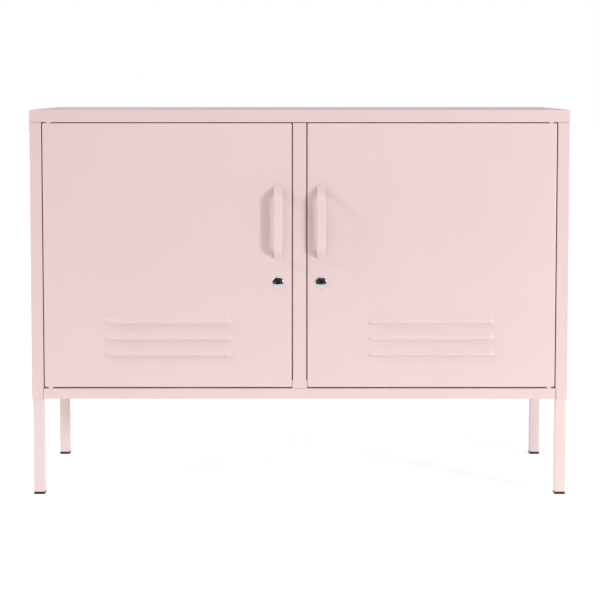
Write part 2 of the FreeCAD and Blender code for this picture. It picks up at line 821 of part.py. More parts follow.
def left_lock_nut():
    """Hexagon nut that clamps the barrel to the door skin."""
    radius = lock_nut_flats / math.sqrt(3)
    base = at(-handle_from_centre, front + sheet, lock_z)
    turns = [math.radians(60 * index) for index in range(6)]
    points = [base + at(radius * math.cos(turn), 0, radius * math.sin(turn)) for turn in turns]
    outline = Part.Face(Part.makePolygon(points + [points[0]]))
    nut = outline.extrude(at(0, lock_nut_height, 0))
    hole = rod(lock_barrel_radius + press_gap, base - at(0, 1, 0), at(0, 1, 0), lock_nut_height + 2)
    return nut.cut(hole)


def left_lock_plug():
    """Turning plug with an upright keyway in front and a square end for the cam."""
    along = at(0, 1, 0)
    face_y = front - lock_bezel_height + lock_plug_sunk
    centre = at(-handle_from_centre, face_y, lock_z)
    plug = rod(lock_plug_radius, centre, along, cam_front - face_y)
    half = cam_square / 2
    square_end = cam_front + cam_thickness - lock_running_gap
    square = block(centre.x - half, centre.x + half, cam_front, square_end, lock_z - half, lock_z + half)
    keyway = block(
        centre.x - keyway_width / 2,
        centre.x + keyway_width / 2,
        face_y - 1,
        face_y + keyway_depth,
        lock_z - keyway_height / 2,
        lock_z + keyway_height / 2,
    )
    tapped = rod(screw_radius + press_gap, centre + along * (square_end - face_y), along * -1, screw_length)
    return joined([plug, square]).cut(keyway).cut(tapped)


def left_lock_cam():
    """Tongue that hangs down when the lock is open."""
    x = -handle_from_centre
    half_tip = cam_tip_width / 2
    tip = lock_z - cam_length
    corners = [
        (at(x - half_tip, cam_front, lock_z), 0),
        (at(x - half_tip, cam_front, tip), half_tip / 2),
        (at(x + half_tip, cam_front, tip), half_tip / 2),
        (at(x + half_tip, cam_front, lock_z), 0),
    ]
    tongue = rounded_face(corners).extrude(at(0, cam_thickness, 0))
    hub = rod(cam_hub_radius, at(x, cam_front, lock_z), at(0, 1, 0), cam_thickness)
    half = cam_square / 2 + lock_running_gap
    hole = block(x - half, x + half, cam_front - 1, cam_front + 2 * cam_thickness, lock_z - half, lock_z + half)
    return joined([tongue, hub]).cut(hole)


def left_cam_screw():
    head_base = at(-handle_from_centre, cam_front + cam_thickness, lock_z)
    sizes = (screw_radius, bolt_head_radius, bolt_head_height, screw_length - 1)
    return screw(head_base, at(0, -1, 0), *sizes)


def left_strike_plate():
    """Steel plate on the door's bottom return, facing the magnets."""
    outer = -door_inner - sheet - strike_width
    low = door_bottom + sheet
    return block(outer, outer + strike_width, door_back, door_back + strike_thickness, low, low + strike_height)


def left_bump_stops():
    """Two rubber buttons that meet the post's brim."""
    x = -(door_inner + post_half + post_brim) / 2
    length = post_back - stop_gap - door_back
    heights = (door_top - 2 * door_return, (door_bottom + lock_z) / 2)
    return Part.makeCompound([rod(stop_radius, at(x, door_back, z), at(0, 1, 0), length) for z in heights])


def bush(base, inward, flange_height):
    """Flanged plastic bush: the flange stands out of the door, the sleeve runs into it."""
    sleeve = rod(bush_radius, base, inward, pin_reach + 1)
    flange = rod(bush_flange_radius, base, inward * -1, flange_height)
    bore_start = base - inward * (flange_height + 1)
    bore = rod(pin_radius + pin_clearance, bore_start, inward, pin_reach + flange_height + 3)
    return joined([sleeve, flange]).cut(bore)


def left_hinge_bushes():
    up = at(0, 0, 1)
    lower = bush(at(-hinge_x, hinge_y, door_bottom), up, door_bottom_gap - bush_end_gap)
    upper = bush(at(-hinge_x, hinge_y, door_top), up * -1, door_top_gap - bush_end_gap)
    return Part.makeCompound([lower, upper])


def paired_pieces():
    """Pieces made for the left and mirrored for the right."""
    front_column, back_column = column_centres()
    return {
        "side_panel": left_side_panel(),
        "front_upright": left_upright(front_column),
        "back_upright": left_upright(back_column),
        "shelf": left_shelf(),
        "lower_hinge_pin": lower_hinge_pin(),
        "upper_hinge_pin": upper_hinge_pin(),
        "magnet_catch": left_magnet_catch(),
        "cable_grommet": left_cable_grommet(),
        "door_skin": left_door_skin(),
        "door_stiffener": left_door_stiffener(),
        "handle": left_handle(),
        "handle_screws": left_handle_screws(),
        "lock_barrel": left_lock_barrel(),
        "lock_nut": left_lock_nut(),
        "lock_plug": left_lock_plug(),
        "lock_cam": left_lock_cam(),
        "cam_screw": left_cam_screw(),
        "strike_plate": left_strike_plate(),
        "bump_stops": left_bump_stops(),
        "hinge_bushes": left_hinge_bushes(),
    }


def single_pieces():
    pieces = {
        "top_panel": top_panel(),
        "bottom_panel": bottom_panel(),
        "back_panel": back_panel(),
        "centre_post": centre_post(),
        "centre_divider": centre_divider(),
        "shelf_clips": shelf_clips(),
        "leg_bolts": leg_bolts(),
        "case_screws": case_screws(),
        "back_panel_screws": back_panel_screws(),
        "post_screws": post_screws(),
        "divider_screws": divider_screws(),
        "catch_screws": catch_screws(),
    }
    for end, rear in (("front", False), ("back", True)):
        for hand, right in (("left", False), ("right", True)):
            pieces[f"{end}_{hand}_leg"] = leg(right, rear)
            pieces[f"{end}_{hand}_foot"] = foot(right, rear)
    return pieces


def main():
    pieces = single_pieces()
    for name, shape in paired_pieces().items():
        pieces[f"left_{name}"] = shape
        pieces[f"right_{name}"] = mirrored(shape)
    os.makedirs("parts", exist_ok=True)
    for name, shape in pieces.items():
        shape.exportStep(f"parts/{name}.step")
        print(name, len(shape.Solids), "solids,", round(shape.Volume), "cubic mm")
    print(len(pieces), "nodes")


main()
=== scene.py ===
import json
import math

import bmesh
import bpy
import numpy as np
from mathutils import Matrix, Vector


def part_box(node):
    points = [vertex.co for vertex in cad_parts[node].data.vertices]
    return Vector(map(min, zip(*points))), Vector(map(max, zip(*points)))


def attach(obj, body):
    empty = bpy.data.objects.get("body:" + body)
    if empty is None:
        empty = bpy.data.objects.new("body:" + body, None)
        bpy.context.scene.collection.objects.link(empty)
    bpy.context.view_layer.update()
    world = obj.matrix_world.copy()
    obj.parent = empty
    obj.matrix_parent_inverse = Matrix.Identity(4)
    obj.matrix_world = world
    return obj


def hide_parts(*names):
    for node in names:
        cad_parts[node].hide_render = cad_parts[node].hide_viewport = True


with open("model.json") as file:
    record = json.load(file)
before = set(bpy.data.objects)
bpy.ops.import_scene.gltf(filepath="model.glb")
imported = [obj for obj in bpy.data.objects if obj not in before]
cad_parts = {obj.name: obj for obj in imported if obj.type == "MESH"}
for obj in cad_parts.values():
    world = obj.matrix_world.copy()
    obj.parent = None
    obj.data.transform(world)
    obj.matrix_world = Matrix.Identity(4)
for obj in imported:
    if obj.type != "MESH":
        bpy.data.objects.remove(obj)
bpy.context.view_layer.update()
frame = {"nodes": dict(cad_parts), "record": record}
mm = 0.001
sides = (("left", 1), ("right", -1))  # the right pieces are the left ones seen in a mirror

# where the frame puts things, in metres
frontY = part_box("top_panel")[0].y
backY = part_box("top_panel")[1].y
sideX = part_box("top_panel")[1].x
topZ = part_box("top_panel")[1].z
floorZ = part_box("bottom_panel")[1].z
sheet = {"wall": 0.8, "bend": 1.5, "bendSteps": 4, "hold": 0.7}  # folded steel sheet, in mm
sheetWall = sheet["wall"] * mm


def linearColour(hexCode):
    # sRGB hex to the linear values that a shader takes
    values = np.array([int(hexCode[i:i + 2], 16) for i in (1, 3, 5)]) / 255
    linear = np.where(values <= 0.04045, values / 12.92, ((values + 0.055) / 1.055) ** 2.4)
    return (*linear.tolist(), 1.0)


def bentLine(corners, radius=sheet["bend"] * mm, steps=sheet["bendSteps"], hold=sheet["hold"] * mm):
    # straight runs with an arc at each inner corner, and a point just before and after each arc,
    # so that smooth shading stays flat between the bends
    corners = np.array(corners, float)
    t = np.linspace(0, 1, steps + 1)[:, None]
    runs = [corners[:1]]
    for before, corner, after in zip(corners, corners[1:], corners[2:]):
        inward = (before - corner) / np.linalg.norm(before - corner)
        onward = (after - corner) / np.linalg.norm(after - corner)
        half = math.acos(np.clip(inward @ onward, -1, 1)) / 2
        reach = radius / math.tan(half)
        centre = corner + (inward + onward) / np.linalg.norm(inward + onward) * radius / math.sin(half)
        start = corner + inward * reach - centre
        end = corner + onward * reach - centre
        turn = math.pi - 2 * half
        arc = centre + (np.sin((1 - t) * turn) * start + np.sin(t * turn) * end) / math.sin(turn)
        runs += [[corner + inward * (reach + hold)], arc, [corner + onward * (reach + hold)]]
    runs.append(corners[-1:])
    return np.concatenate(runs)


def gridPart(points, keep=None, closed=False):
    # quads between the points of a grid [row, column]; keep says which cells stay, and closed joins
    # the last column to the first
    rows, columns = points.shape[:2]
    index = np.arange(rows * columns).reshape(rows, columns)
    if closed:
        index = np.concatenate([index, index[:, :1]], axis=1)
    quads = np.stack([index[:-1, :-1], index[:-1, 1:], index[1:, 1:], index[1:, :-1]], axis=-1)
    quads = quads.reshape(-1, 4) if keep is None else quads[keep]
    return points.reshape(-1, 3), quads


def capPart(ring):
    # one flat face inside a ring of points
    return ring, np.arange(len(ring))[None, :]


def loftParts(rings, capStart=True, capEnd=True):
    # a skin over rings that have as many points each, closed by a flat face at either end
    rings = np.array(rings)
    parts = [gridPart(rings, closed=True)]
    parts += [capPart(rings[0])] if capStart else []
    parts += [capPart(rings[-1])] if capEnd else []
    return parts


def sweptPart(section, stations, axes, keep=None):
    # a section in the first two of the named axes, carried straight along the third
    order = ["xyz".index(letter) for letter in axes]
    grid = np.zeros((len(stations), len(section), 3))
    grid[..., order[0]] = section[None, :, 0]
    grid[..., order[1]] = section[None, :, 1]
    grid[..., order[2]] = np.asarray(stations, float)[:, None]
    return gridPart(grid, keep)


def middles(values):
    values = np.asarray(values, float)
    return (values[:-1] + values[1:]) / 2


def mirrorParts(parts, sign):
    # the same parts, or their mirror image about the middle of the cabinet with the faces turned back
    if sign > 0:
        return parts
    return [(points * [-1, 1, 1], faces[:, ::-1]) for points, faces in parts]


def turnedParts(profile, centre, axis, steps=32, dip=None):
    # a profile of (radius, distance along the axis) turned about it; dip(x, y) lowers the surface,
    # for a driver recess; a profile that starts and ends on the axis is closed there
    axis = np.array(axis, float)
    aside = np.array([0, 0, 1.0]) if abs(axis[2]) < 0.5 else np.array([1.0, 0, 0])
    across = np.cross(aside, axis)
    angle = np.arange(steps) * 2 * math.pi / steps
    profile = np.array(profile, float)
    u = profile[:, :1] * np.cos(angle)
    v = profile[:, :1] * np.sin(angle)
    along = profile[:, 1:] + np.zeros_like(u)
    if dip is not None:
        along = along + dip(u, v, along)
    points = np.array(centre) + u[..., None] * aside + v[..., None] * across + along[..., None] * axis
    return [gridPart(points, closed=True)]


def roundedRing(halfX, halfY, radius, steps=4):
    # points round a rectangle whose corners are quarter circles
    turn = np.linspace(0, math.pi / 2, steps + 1)
    corners = []
    for index, (signX, signY) in enumerate(((1, 1), (-1, 1), (-1, -1), (1, -1))):
        angle = turn + index * math.pi / 2
        centre = np.array([signX * (halfX - radius), signY * (halfY - radius)])
        corners.append(centre + radius * np.stack([np.cos(angle), np.sin(angle)], 1))
    return np.concatenate(corners)


def raisedRings(outlines, heights, centre, axes="xyz"):
    # flat outlines, each in the first two of the named axes, set at heights along the third
    order = ["xyz".index(letter) for letter in axes]
    rings = np.zeros((len(outlines), len(outlines[0]), 3))
    for ring, outline, height in zip(rings, outlines, heights):
        ring[:, order[0]] = outline[:, 0]
        ring[:, order[1]] = outline[:, 1]
        ring[:, order[2]] = height
    return rings + np.array(centre)


def solidBoxes(nodeName):
    # lowest and highest corner of each separate solid in a node: vertices in the same place are one,
    # and every edge passes the lower label on until each solid has a single label
    mesh = frame["nodes"][nodeName].data
    points = np.empty(len(mesh.vertices) * 3)
    mesh.vertices.foreach_get("co", points)
    points = points.reshape(-1, 3)
    ends = np.empty(len(mesh.edges) * 2, int)
    mesh.edges.foreach_get("vertices", ends)
    spots, index = np.unique(points.round(6), axis=0, return_inverse=True)
    ends = index.reshape(-1)[ends].reshape(-1, 2)
    labels = np.arange(len(spots))
    while True:
        lowest = labels[ends].min(axis=1)
        spread = labels.copy()
        np.minimum.at(spread, ends[:, 0], lowest)
        np.minimum.at(spread, ends[:, 1], lowest)
        if (spread == labels).all():
            break
        labels = spread
    return [(spots[labels == label].min(0), spots[labels == label].max(0)) for label in np.unique(labels)]


def centreOf(nodeName):
    low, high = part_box(nodeName)
    return np.array((low + high) / 2)


slotOfNode = {part["node"]: part["material_slot"] for part in frame["record"]["subparts"]}
bodyOfNode = {node: body for body, nodes in frame["record"]["behaviour"]["bodies"].items() for node in nodes}


def makePiece(name, node, parts, sign=1, wall=None, outside=None, bevel=None, sharpAngle=38):
    # one object from its parts: welded, turned outwards, given its wall or bevel, and tied to the frame.
    # outside is the way that most of an open sheet faces; its wall is added on the other side
    parts = mirrorParts(parts, sign)
    vertices = np.concatenate([points for points, faces in parts])
    faces, start = [], 0
    for points, polygons in parts:
        faces += (np.asarray(polygons) + start).tolist()
        start += len(points)
    mesh = bpy.data.meshes.new(name)
    mesh.from_pydata(vertices.tolist(), [], faces)
    solid = bmesh.new()
    solid.from_mesh(mesh)
    bmesh.ops.remove_doubles(solid, verts=solid.verts, dist=0.004 * mm)
    bmesh.ops.recalc_face_normals(solid, faces=solid.faces)
    if outside is not None:
        facing = Vector((outside[0] * sign, outside[1], outside[2]))
        if sum(face.normal.dot(facing) * face.calc_area() for face in solid.faces) < 0:
            bmesh.ops.reverse_faces(solid, faces=solid.faces)
    solid.to_mesh(mesh)
    solid.free()
    piece = bpy.data.objects.new(name, mesh)
    bpy.context.scene.collection.objects.link(piece)
    if wall:
        solidify = piece.modifiers.new("wall", "SOLIDIFY")
        solidify.thickness = wall
        solidify.offset = -1
        solidify.use_even_offset = True
    if bevel:
        rounding = piece.modifiers.new("edges", "BEVEL")
        rounding.width = bevel
        rounding.segments = 2
        rounding.limit_method = "ANGLE"
        rounding.angle_limit = math.radians(40)
    if wall or bevel:
        finished = bpy.data.meshes.new_from_object(piece.evaluated_get(bpy.context.evaluated_depsgraph_get()))
        piece.modifiers.clear()
        piece.data = finished
        piece.data.name = name
    piece.data.shade_smooth()
    piece.data.set_sharp_from_angle(angle=math.radians(sharpAngle))
    piece.data.materials.clear()
    piece.data.materials.append(finishes[slotOfNode[node]])
    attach(piece, bodyOfNode[node])
    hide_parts(node)
    return piece


def addNode(tree, kind, settings=None, links=None):
    # one node: settings go to its properties or its inputs, links feed its inputs
    node = tree.nodes.new(kind)
    for name, value in (settings or {}).items():
        if isinstance(name, int) or name in node.inputs:
            node.inputs[name].default_value = value
        else:
            setattr(node, name, value)
    for name, source in (links or {}).items():
        tree.links.new(source, node.inputs[name])
    return node


def newFinish(name, settings):
    # a material with its shader set; returns the material, its tree, its shader and object coordinates
    material = bpy.data.materials.new(name)
    material.use_nodes = True
    tree = material.node_tree
    tree.nodes.clear()
    shader = addNode(tree, "ShaderNodeBsdfPrincipled", settings)
    addNode(tree, "ShaderNodeOutputMaterial", links={"Surface": shader.outputs[0]})
    place = addNode(tree, "ShaderNodeTexCoord").outputs["Object"]
    return material, tree, shader, place


def patternedFinish(name, look, colours=None):
    # colour and roughness drift between their two values along one noise, and a second one makes the
    # grain's bumps; a noise's scale is one over the size of its features in metres
    material, tree, shader, place = newFinish(name, look["shader"])
    drift = addNode(tree, "ShaderNodeTexNoise",
                    {"Scale": 1000 / look["driftSize"], "Detail": look["driftDetail"]}, {"Vector": place})
    one, other = (linearColour(hexCode) for hexCode in colours or look["colours"])
    colour = addNode(tree, "ShaderNodeMix", {"data_type": "RGBA", 6: one, 7: other},
                     {0: drift.outputs["Fac"]})
    low, high = look["roughness"]
    dull = addNode(tree, "ShaderNodeMapRange", {"To Min": low, "To Max": high},
                   {"Value": drift.outputs["Fac"]})
    tree.links.new(colour.outputs[2], shader.inputs["Base Color"])
    tree.links.new(dull.outputs[0], shader.inputs["Roughness"])
    if "grainSize" in look:
        grain = addNode(tree, "ShaderNodeTexNoise",
                        {"Scale": 1000 / look["grainSize"], "Detail": look["grainDetail"]}, {"Vector": place})
        bump = addNode(tree, "ShaderNodeBump",
                       {"Strength": look["bump"], "Distance": look["grainHeight"] * mm},
                       {"Height": grain.outputs["Fac"]})
        tree.links.new(bump.outputs[0], shader.inputs["Normal"])
    return material


# powder coat on steel: sprayed, then baked until it flows. Satin, even in colour, with a faint
# orange-peel grain of about 2 mm and a broad, barely visible cloudiness from the spray passes
powderCoat = {
    "shader": {"Specular IOR Level": 0.45}, "roughness": (0.30, 0.38), "driftSize": 160, "driftDetail": 3.0,
    "grainSize": 2.2, "grainDetail": 1.5, "grainHeight": 0.02, "bump": 0.25,
}
coatColours = {
    "case": ("#dcc4c2", "#d8c0bf"),
    "door": ("#dcc5c3", "#d8c1c1"),
    "handle": ("#dec8c6", "#dac4c4"),
    "leg": ("#dfcac8", "#dbc6c5"),
}

# chrome on die-cast zinc: a mirror with a few fine polishing lines, drawn coarser than they are
chrome = {
    "shader": {"Metallic": 1.0}, "colours": ("#d8dadd", "#b9bcc0"), "roughness": (0.04, 0.12),
    "driftSize": 0.6, "driftDetail": 2.0,
}

# bright zinc plate on steel: bluish grey, with the soft mottling of the bath
zinc = {
    "shader": {"Metallic": 1.0}, "colours": ("#b4b8bd", "#94999f"), "roughness": (0.28, 0.45),
    "driftSize": 3.0, "driftDetail": 4.0, "grainSize": 3.0, "grainDetail": 4.0,
    "grainHeight": 0.02, "bump": 0.2,
}

# moulded plastics and rubber: the mould's spark-eroded grain keeps them matt. The real grain is under
# 0.2 mm and is drawn coarser, so that it shows
mouldGrain = {
    "shader": {"Specular IOR Level": 0.5}, "driftSize": 14, "driftDetail": 2.0, "grainDetail": 3.0,
    "grainHeight": 0.05, "bump": 0.3,
}
moulded = {
    "foot_plastic": ("moulded polypropylene, black",
                     {"colours": ("#262020", "#332c2b"), "grainSize": 0.8, "roughness": (0.42, 0.6)}),
    "catch_plastic": ("moulded acetal, white",
                      {"colours": ("#f0eeea", "#e4e1dc"), "grainSize": 0.9, "roughness": (0.3, 0.42)}),
    "bush_plastic": ("moulded nylon, natural",
                     {"colours": ("#ece5d8", "#dfd6c6"), "grainSize": 0.9, "roughness": (0.34, 0.46)}),
    "black_rubber": ("moulded rubber, black",
                     {"colours": ("#1f1e1e", "#2c2a29"), "grainSize": 0.6, "roughness": (0.62, 0.8)}),
}

finishes = {
    "lock_chrome": patternedFinish("chrome-plated zinc", chrome),
    "zinc_steel": patternedFinish("zinc-plated steel", zinc),
}
for part, colours in coatColours.items():
    finishes[f"{part}_steel"] = patternedFinish(f"powder-coated steel, {part}", powderCoat, colours)
for slotName, (name, look) in moulded.items():
    finishes[slotName] = patternedFinish(name, {**mouldGrain, **look})
print("finishes:", len(finishes))


def withHoleLines(lines, places, half, steps):
    # adds grid lines across each hole's square, so that its round patch meets the grid point to point
    extra = [place + np.linspace(-half, half, steps + 1) for place in places]
    lines = [value for value in lines if all(abs(value - place) > half for place in places)]
    return np.unique(np.round(np.concatenate([lines, *extra]), 7))


def roundHolePart(x, z, radius, half, steps):
    # from a circle out to the square round it: the point at each angle slides along a straight line
    side = np.linspace(-half, half, steps + 1)[:-1]
    one = np.full(steps, half)
    edges = ((side, -one), (one, side), (-side, one), (-one, -side))
    square = np.concatenate([np.stack(edge, 1) for edge in edges])
    circle = square / np.linalg.norm(square, axis=1, keepdims=True) * radius
    share = np.array([0, 0.08, 1])[:, None, None]
    ring = circle * (1 - share) + square * share
    return np.stack([ring[..., 0] + x, np.zeros(ring.shape[:2]), ring[..., 1] + z], axis=-1)


def panPoints(xLines, zLines, profile, cornerSteps=5):
    # the folded rim of a pan: each point on the flat face's edge goes out and back along the profile
    # (outward, depth); at a corner the outward direction turns through a quarter circle
    base, fan, mitre = [], [], []
    left, right, low, high = xLines[0], xLines[-1], zLines[0], zLines[-1]
    corners = [(left, low), (right, low), (right, high), (left, high)]
    signs = [(-1, -1), (1, -1), (1, 1), (-1, 1)]
    outward = [(0, -1), (1, 0), (0, 1), (-1, 0)]
    inner = [xLines[1:-1], zLines[1:-1], xLines[1:-1][::-1], zLines[1:-1][::-1]]
    for side in range(4):
        angle = math.pi + side * math.pi / 2 + np.linspace(0, math.pi / 2, cornerSteps + 1)
        base.append(np.tile(corners[side], (cornerSteps + 1, 1)))
        fan.append(np.stack([np.cos(angle), np.sin(angle)], 1))
        mitre.append(np.tile(signs[side], (cornerSteps + 1, 1)))
        fixed = np.full(len(inner[side]), corners[side][1] if side % 2 == 0 else corners[side][0])
        pair = (inner[side], fixed) if side % 2 == 0 else (fixed, inner[side])
        base.append(np.stack(pair, 1))
        fan.append(np.tile(outward[side], (len(fixed), 1)))
        mitre.append(np.tile(outward[side], (len(fixed), 1)))
    base, fan, mitre = (np.concatenate(values).astype(float) for values in (base, fan, mitre))
    out = profile[:, 0][:, None, None]
    spots = base + np.maximum(out, 0) * fan + np.minimum(out, 0) * mitre
    depth = profile[:, 1][:, None] + np.zeros(len(base))
    return np.stack([spots[..., 0], spots[..., 1], depth], axis=-1)


def trayParts(x0, x1, y0, y1, z, depth, lip, cornerSteps=5):
    # a flat sheet at height z with walls folded down all round it and a lip folded in below them
    bend = sheet["bend"] * mm
    rim = bentLine([(-3 * mm, 0), (bend, 0), (bend, depth), (bend - lip, depth)])[1:]
    rings = panPoints(np.array([x0 + bend, x1 - bend]), np.array([y0 + bend, y1 - bend]), rim, cornerSteps)
    near = bend - rim[0, 0]  # the first ring stands this far inside the outer faces
    flat = [(x0 + near, y0 + near, z), (x1 - near, y0 + near, z), (x1 - near, y1 - near, z),
            (x0 + near, y1 - near, z)]
    return [gridPart(rings * [1, 1, -1] + [0, 0, z], closed=True), capPart(np.array(flat))]


# upturned tray with a band all round, and a tongue that hangs down in front of the back panel
topPanel = {"band": 23.0, "lip": 15.0, "tongueInset": 15.0, "tongueStep": 4.8, "tongueDrop": 15.0}


def makeTopPanel():
    parts = trayParts(-sideX, sideX, frontY, backY, topZ, topPanel["band"] * mm, topPanel["lip"] * mm)
    step = backY - topPanel["tongueStep"] * mm
    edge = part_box("back_panel")[1].x - topPanel["tongueInset"] * mm
    bandZ = topZ - topPanel["band"] * mm
    tongue = bentLine([(backY - 2 * mm, bandZ + sheetWall), (step, bandZ + sheetWall),
                       (step, bandZ - topPanel["tongueDrop"] * mm)])
    parts.append(sweptPart(tongue, (-edge, edge), "yzx"))
    makePiece("topPanel", "top_panel", parts, wall=sheetWall, outside=(0, 0, 1))


makeTopPanel()

# one sheet folded to a stile and its return in front, and to a stepped flange behind
sidePanel = {"stile": 22.0, "return": 22.0, "stepWidth": 6.0, "stepDepth": 4.0, "backFlange": 15.0,
             "topFlange": 15.0, "foldsAboveFloor": 0.2}


def makeSidePanel(side, sign):
    stileX = sidePanel["stile"] * mm - sideX
    stepX = sidePanel["stepWidth"] * mm - sideX
    recessY = backY - sidePanel["stepDepth"] * mm
    section = bentLine([
        (stepX + sidePanel["backFlange"] * mm, recessY), (stepX, recessY), (stepX, backY), (-sideX, backY),
        (-sideX, frontY), (stileX, frontY), (stileX, frontY + sidePanel["return"] * mm)])
    low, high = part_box(f"{side}_side_panel")
    stations = [low.z, floorZ + sidePanel["foldsAboveFloor"] * mm, high.z]
    cellX, cellY = middles(section[:, 0]), middles(section[:, 1])
    keep = np.ones((2, len(section) - 1), bool)
    keep[0] = (cellX < -sideX + 1 * mm) | ((cellY < frontY + 1 * mm) & (cellX < stileX - 2 * mm))
    flat = section[np.abs(section[:, 0] + sideX) < 1e-6, 1]  # where the side itself has points
    reaches = (0, sidePanel["topFlange"] * mm)
    edge = np.array([[(-sideX + reach, y, high.z) for y in flat] for reach in reaches])
    parts = [sweptPart(section, stations, "xyz", keep), gridPart(edge)]
    makePiece(f"{side}SidePanel", f"{side}_side_panel", parts, sign,
              wall=sheetWall, outside=(-1, 0, 0))


# cabinet floor: a tray turned upside down, whose front flange is the bottom rail
bottomPanel = {"return": 15.0, "sideInset": 1.0, "railInset": 22.2}


def makeBottomPanel():
    low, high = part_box("bottom_panel")
    back = high.y
    lip = bottomPanel["return"] * mm
    line = bentLine([(frontY + lip, low.z), (frontY, low.z), (frontY, floorZ), (back, floorZ), (back, low.z),
                     (back - lip, low.z)])
    outer = sideX - bottomPanel["sideInset"] * mm
    rail = sideX - bottomPanel["railInset"] * mm
    stations = [-outer, -rail, rail, outer]
    cellY, cellZ = middles(line[:, 0]), middles(line[:, 1])
    isFloor = (cellZ > floorZ - 1e-6) & (cellY > frontY + 1 * mm) & (cellY < back - 1 * mm)
    isBackFlange = (cellY > back - 0.1 * mm) & (cellZ < floorZ - 1 * mm)
    keep = np.ones((3, len(line) - 1), bool)
    keep[[0, 2]] = isFloor | isBackFlange
    parts = [sweptPart(line, stations, "yzx", keep)]
    flat = line[np.abs(line[:, 1] - floorZ) < 1e-6, 0]
    for x in (-outer, outer):
        parts.append(gridPart(np.array([[(x, y, z) for y in flat] for z in (floorZ, low.z)])))
    makePiece("bottomPanel", "bottom_panel", parts, wall=sheetWall, outside=(0, 0, 1))


# flat sheet with two holes for cables and two for the wall fixing
backPanel = {"wallHole": 3.5, "wallHoleSquare": 7.0, "cableHole": 28.0, "cableHoleSquare": 36.0}


def makeBackPanel():
    low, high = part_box("back_panel")
    fixing = next(mount for mount in frame["record"]["mounts"] if mount["name"] == "wall_fixing")
    wallX = fixing["dims"]["spacing_x_mm"] * mm / 2
    wallZ = fixing["pos_m"][2]
    cable = centreOf("left_cable_grommet")
    holes = [(x, cable[2], "cableHole", 10) for x in (cable[0], -cable[0])]
    holes += [(x, wallZ, "wallHole", 5) for x in (-wallX, wallX)]
    xLines, zLines = np.array([low.x, high.x]), np.array([low.z, high.z])
    for x, z, kind, steps in holes:
        square = backPanel[kind + "Square"] * mm
        xLines = withHoleLines(xLines, [x], square, steps)
        zLines = withHoleLines(zLines, [z], square, steps)
    cellX, cellZ = np.meshgrid(middles(xLines), middles(zLines))
    inHole = np.zeros(cellX.shape, bool)
    parts = []
    for x, z, kind, steps in holes:
        square = backPanel[kind + "Square"] * mm
        inHole |= (np.abs(cellX - x) < square) & (np.abs(cellZ - z) < square)
        ring = roundHolePart(x, z, backPanel[kind] * mm, square, steps)
        ring[..., 1] = high.y
        parts.append(gridPart(ring, closed=True))
    x, z = np.meshgrid(xLines, zLines)
    parts.append(gridPart(np.stack([x, np.full(x.shape, high.y), z], axis=-1), ~inHole))
    makePiece("backPanel", "back_panel", parts, wall=sheetWall, outside=(0, 1, 0))


# hat section: its brims stop the doors, and end above the catches
centrePost = {"crown": 25.0, "brimsAboveFloor": 19.2, "tabDepth": 17.0, "topGap": 1.0}


def makeCentrePost():
    low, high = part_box("centre_post")
    half = centrePost["crown"] * mm / 2
    stop = high.y - sheetWall
    section = bentLine([(low.x, stop), (-half, stop), (-half, frontY),
                        (half, frontY), (half, stop), (high.x, stop)])
    stations = [low.z, floorZ + centrePost["brimsAboveFloor"] * mm, high.z - centrePost["topGap"] * mm]
    keep = np.ones((2, len(section) - 1), bool)
    keep[0] = np.abs(middles(section[:, 0])) < half + 1e-6
    parts = [sweptPart(section, stations, "xyz", keep)]
    flat = section[np.abs(section[:, 1] - frontY) < 1e-6, 0]
    for z in (stations[0], stations[-1]):
        tabEnd = frontY + centrePost["tabDepth"] * mm
        parts.append(gridPart(np.array([[(x, y, z) for x in flat] for y in (frontY, tabEnd)])))
    makePiece("centrePost", "centre_post", parts, wall=sheetWall, outside=(0, -1, 0))


for side, sign in sides:
    makeSidePanel(side, sign)
makeBottomPanel()
makeBackPanel()
makeCentrePost()
print("case: panels and post")

# sheets with columns of slots for the shelf clips
slots = {"width": 11.0, "height": 5.0, "pitch": 25.0, "count": 17, "firstAboveFloor": 45.0,
         "columnOffset": 9.0}
upright = {"bend": 1.2}
divider = {"flangeFrom": 15.0, "foldFrom": 9.0, "foldZone": 3.2, "footFrom": 16.0, "flangeAboveFloor": 15.0,
           "flangeBelowTop": 25.0}


def slotRows(low, high):
    # heights of the grid's rows: the ends, and both edges of every slot
    starts = floorZ + (slots["firstAboveFloor"] + np.arange(slots["count"]) * slots["pitch"]) * mm
    return starts, np.unique(np.concatenate([[low, high], starts, starts + slots["height"] * mm]))


def inSlots(cellY, cellZ, columns, starts):
    nearColumn = (np.abs(cellY[..., None] - columns) < slots["width"] / 2 * mm).any(axis=-1)
    inRow = ((cellZ[..., None] > starts) & (cellZ[..., None] < starts + slots["height"] * mm)).any(axis=-1)
    return nearColumn & inRow


def makeUpright(side, sign, end):
    name = f"{side}_{end}_upright"
    low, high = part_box(name)
    x0, x1 = sorted((sign * low.x, sign * high.x))
    column = (low.y + high.y) / 2
    half = slots["width"] / 2 * mm
    line = bentLine([(x0, low.y), (x1, low.y), (x1, high.y), (x0, high.y)], upright["bend"] * mm)
    cut = len(line) // 2
    line = np.concatenate([line[:cut], [(x1, column - half), (x1, column + half)], line[cut:]])
    starts, rows = slotRows(low.z, high.z)
    cellY, cellZ = np.meshgrid(middles(line[:, 1]), middles(rows))
    isWeb = middles(line[:, 0]) > x1 - 0.1 * mm
    keep = ~(inSlots(cellY, cellZ, np.array([column]), starts) & isWeb)
    makePiece(f"{side}{end.capitalize()}Upright", name, [sweptPart(line, rows, "xyz", keep)], sign,
              wall=sheetWall, outside=(1, 0, 0))


